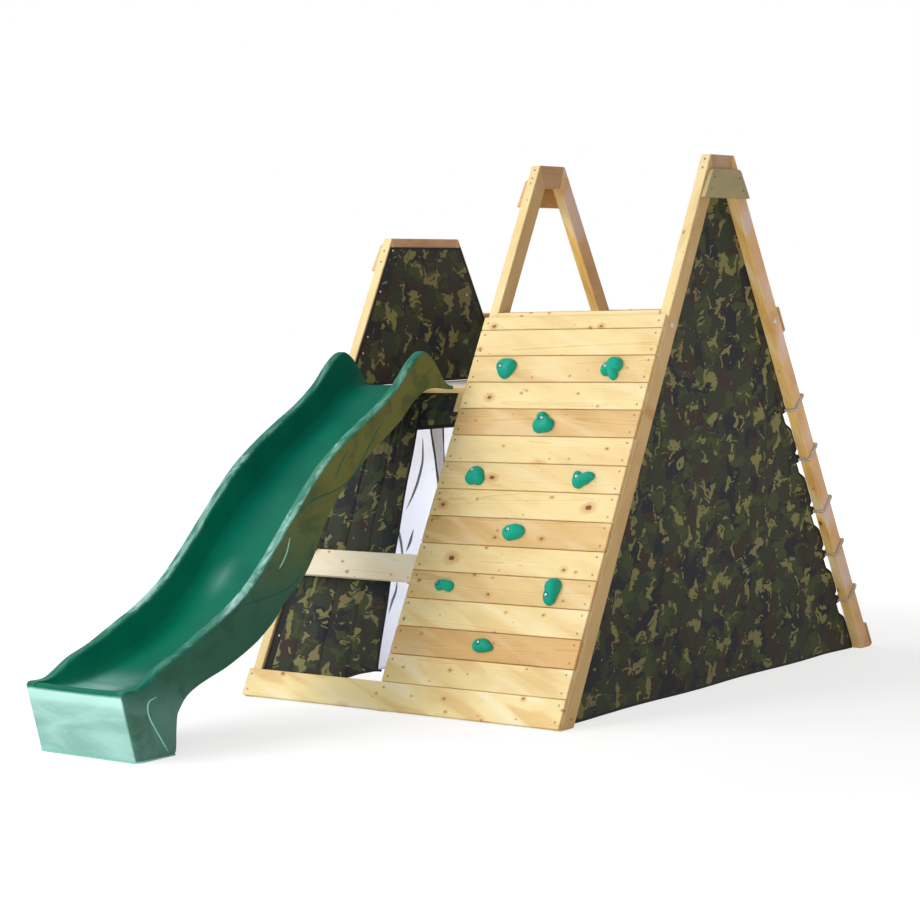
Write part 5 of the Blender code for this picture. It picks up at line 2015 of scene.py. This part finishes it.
@dataclass
class RopeNet:
    """The knotted rope net at the back of the right bay, tied round the rear legs."""

    radius: float = 0.005
    slack: float = 0.0015
    pitch: float = 0.024
    loop_swell: float = 1.16
    corner: float = 0.007
    columns: int = 3
    # How far the top loops reach past the legs, clear of the cloth
    top_reach: float = 0.040
    knot_reach: Spot = (0.0062, 0.0018)
    knot_strand: float = 0.0042
    knot_steps: int = 48
    finish: TwistedRope = TwistedRope()

    def __post_init__(self) -> None:
        """Works out how far the ropes lie off the legs."""
        self.clear = self.radius + self.slack

    def strand(self, angle: float, at: float) -> float:
        """The radius of a three-strand rope at an angle and a distance along it."""
        turn = 1.5 * angle - math.pi * at / self.pitch
        return self.radius * (0.80 + 0.20 * abs(math.cos(turn)))

    def rope(self, mesh: Mesh, points: Sequence[Vector],
             closed: bool = False) -> None:
        """Adds one rope through close points, which may return to its start."""
        swell = self.loop_swell if closed else 1.0
        tube(mesh, Path(points, closed, 1), lambda a, at: swell * self.strand(a, at), 10)

    def straight(self, mesh: Mesh, ends: Sequence[Vector], steps: int) -> None:
        """Adds a straight rope between two ends, in these steps."""
        self.rope(mesh, [ends[0].lerp(ends[1], k / steps) for k in range(steps + 1)])

    def build(self) -> Piece:
        """Makes the net.

        Returns:
            The piece.
        """
        mesh = bmesh.new()
        middle, right = SIZES.middle_leg, SIZES.right_leg
        rise = SIZES.tie_drop * self.clear / SIZES.leg_depth
        step = (right[0] - middle[1]) / (self.columns + 1)
        for along in SIZES.ties:
            wide = self.top_reach if along == max(SIZES.ties) else 0.0
            self.straight(mesh, [SLOPE.point(Side.REAR, along + rise, self.clear,
                                             SIZES.middle(leg)) for leg in (middle, right)], 160)
            for low, high in ((middle[0] - wide, middle[1] + wide), (right[0] - wide, right[1])):
                self.rope(mesh, self.loop(low, high, along), True)
        for column in range(1, self.columns + 1):
            x = middle[1] + step * column
            self.straight(mesh, [SLOPE.point(Side.REAR, along, self.clear, x)
                                 for along in (SIZES.ties[0], SIZES.ties[-1])], 200)
            for along in SIZES.ties:
                self.knotted(mesh, SLOPE.point(Side.REAR, along + rise, self.clear, x))
        return add_piece("knotted_net", mesh, [self.finish.material()], Slot.ROPE, ["rope_net"])

    def knotted(self, mesh: Mesh, at: Vector) -> None:
        """Adds a round knot of wound rope.

        Args:
            mesh: The mesh that it is added to.
            at: Its middle.
        """
        up, out = SLOPE.upward(Side.REAR), SLOPE.outward(Side.REAR)
        turns = []
        for k in range(self.knot_steps):
            angle = 2 * math.pi * k / self.knot_steps
            reach = self.knot_reach[0] + self.knot_reach[1] * math.cos(3 * angle)
            flat = RIGHT * math.sin(angle) + up * math.cos(2 * angle) * 0.8
            turns.append(at + reach * flat + out * 0.0035 * math.sin(3 * angle))
        tube(mesh, Path(turns, True, 1), lambda angle, at: self.knot_strand, 8)

    def loop(self, low: float, high: float, along: float) -> list[Vector]:
        """The points of a rope round a rear leg, lower on its inner side.

        Args:
            low: The leg's lower side in x, or a place beside it.
            high: The leg's upper side in x, or a place beside it.
            along: The rope's place up the leg.

        Returns:
            Close points round the leg.
        """
        near, far = self.clear, -SIZES.leg_depth - self.clear
        found = []
        # The rope's outermost x and depth at each corner, and the ways to its middle
        for turn, (x, depth, into_x, into_depth) in enumerate((
            (high + self.clear, near, -1, -1), (low - self.clear, near, 1, -1),
            (low - self.clear, far, 1, 1), (high + self.clear, far, -1, 1),
        )):
            for k in range(7):
                angle = math.radians(90 * (turn + k / 6))
                at_x = x + self.corner * (into_x + math.cos(angle))
                at_depth = depth + self.corner * (into_depth + math.sin(angle))
                drop = SIZES.tie_drop * at_depth / SIZES.leg_depth
                found.append(SLOPE.point(Side.REAR, along + drop, at_depth, at_x))
        fine = []
        for first, second in zip(found, found[1:] + found[:1]):
            steps = max(1, round((second - first).length / 0.0035))
            fine += [first.lerp(second, k / steps) for k in range(steps)]
        return fine


@dataclass(frozen=True)
class Lamp:
    """A square lamp: where it hangs, its side, its power in watts and what it faces."""

    name: str
    at: Triple
    size: float
    power: float
    aim: Triple = (0.0, 0.0, 0.7)
    # How wide its beam is, in degrees
    spread: float = 180.0

    def hang(self) -> None:
        """Adds it to the scene."""
        data = bpy.data.lights.new(self.name, "AREA")
        data.size = self.size
        data.spread = math.radians(self.spread)
        data.energy = self.power
        lamp = link(self.name, data)
        lamp.location = self.at
        away = Vector(self.at) - Vector(self.aim)
        lamp.rotation_euler = away.to_track_quat("Z", "Y").to_euler()


@dataclass
class Studio:
    """The floor, the light and the camera."""

    place: Triple = (4.8457, -6.3795, 1.3392)
    yaw: float = 0.6563
    pitch: float = -0.0664
    roll: float = -0.0239
    # The lens's focal length and the picture's side, in pixels of the picture
    focal: float = 2333.56
    frame_side: int = 920
    sensor: float = 36.0
    ambient: float = 0.36
    floor_glow: float = 0.70
    floor_size: float = 60.0
    lamps: tuple[Lamp, ...] = (
        Lamp("key", (-3.0, -6.0, 4.6), 3.6, 275.0),
        Lamp("front", (1.6, -3.6, 0.40), 1.2, 42.0, (0.1, -0.3, 0.3)),
        Lamp("side", (-4.4, -0.9, 5.2), 2.6, 110.0),
        Lamp("den", (0.25, 0.75, 0.55), 0.5, 7.5, (-0.63, 0.45, 0.45)),
        Lamp("flank", (3.9, -1.6, 0.5), 1.0, 2.0, (0.65, 1.05, 0.95), 36.0),
    )

    def camera(self) -> None:
        """Sets up the camera at the photograph's place and angle."""
        ahead = Vector((-math.sin(self.yaw) * math.cos(self.pitch),
                        math.cos(self.yaw) * math.cos(self.pitch), math.sin(self.pitch)))
        right = Vector((math.cos(self.yaw), math.sin(self.yaw), 0))
        up = right.cross(ahead)
        turned = right * math.cos(self.roll) + up * math.sin(self.roll)
        over = up * math.cos(self.roll) - right * math.sin(self.roll)
        matrix = Matrix((turned, over, -ahead)).transposed().to_4x4()
        matrix.translation = self.place
        data = bpy.data.cameras.new("camera")
        data.sensor_width = self.sensor
        data.lens = self.focal / self.frame_side * self.sensor
        camera = link("camera", data)
        camera.matrix_world = matrix
        bpy.context.scene.camera = camera

    def world(self) -> None:
        """Sets a white backdrop that lights the object at a plain level."""
        world = bpy.data.worlds.new("studio")
        bpy.context.scene.world = world
        graph = Graph(world, "ShaderNodeOutputWorld")
        strength = self.ambient + (1 - self.ambient) * graph.seen()
        graph.close(graph.node(
            "ShaderNodeBackground", {}, {"Color": (1, 1, 1, 1), "Strength": strength}))

    def floor(self) -> None:
        """Lays a pale floor that keeps the object's shadow and is white in the distance."""
        graph = Graph.start("floor")
        seen = graph.seen()
        away = graph.vector("LENGTH", graph.coordinates(), output=1)
        share = self.floor_glow + (1 - self.floor_glow) * away.step(1.7, 4.5)
        tone = graph.mix(seen, (0.74, 0.74, 0.74, 1.0), (0.40, 0.40, 0.40, 1.0))
        matt = graph.node("ShaderNodeBsdfDiffuse", {}, {"Color": tone})
        glow = graph.node(
            "ShaderNodeEmission", {}, {"Color": (1, 1, 1, 1), "Strength": seen * share})
        graph.close(graph.node("ShaderNodeAddShader", {}, {0: matt, 1: glow}))
        mesh = bmesh.new()
        bmesh.ops.create_grid(mesh, x_segments=1, y_segments=1, size=self.floor_size)
        floor = as_object("floor", mesh, [graph.owner])

    def build(self) -> None:
        """Sets up everything round the object."""
        self.camera()
        self.world()
        self.floor()
        for lamp in self.lamps:
            lamp.hang()
        bpy.context.scene.view_settings.view_transform = "Standard"


def main() -> None:
    """Builds the studio and every sub-assembly in order."""
    logging.basicConfig(level=logging.INFO, format="%(message)s")
    Studio().build()
    LOG.info("studio ready")
    LOG.info("timber dressed: %d nodes", Timber().build())
    fixings = Fixings()
    LOG.info("bolts dressed: %d", fixings.dress_bolts())
    LOG.info("slide: %s", Slide().build().name)
    LOG.info("holds: %d pieces", Holds().build())
    LOG.info("screws: %d", fixings.build())
    sewing = Sewing()
    for cloth in (RightCover(sewing), LeftCloths(sewing), DenFront(sewing)):
        LOG.info("sheets: %s", ", ".join(sheet.name for sheet in cloth.build()))
    LOG.info("net: %s", RopeNet().build().name)
    bpy.context.view_layer.update()


if __name__ == "__main__":
    main()
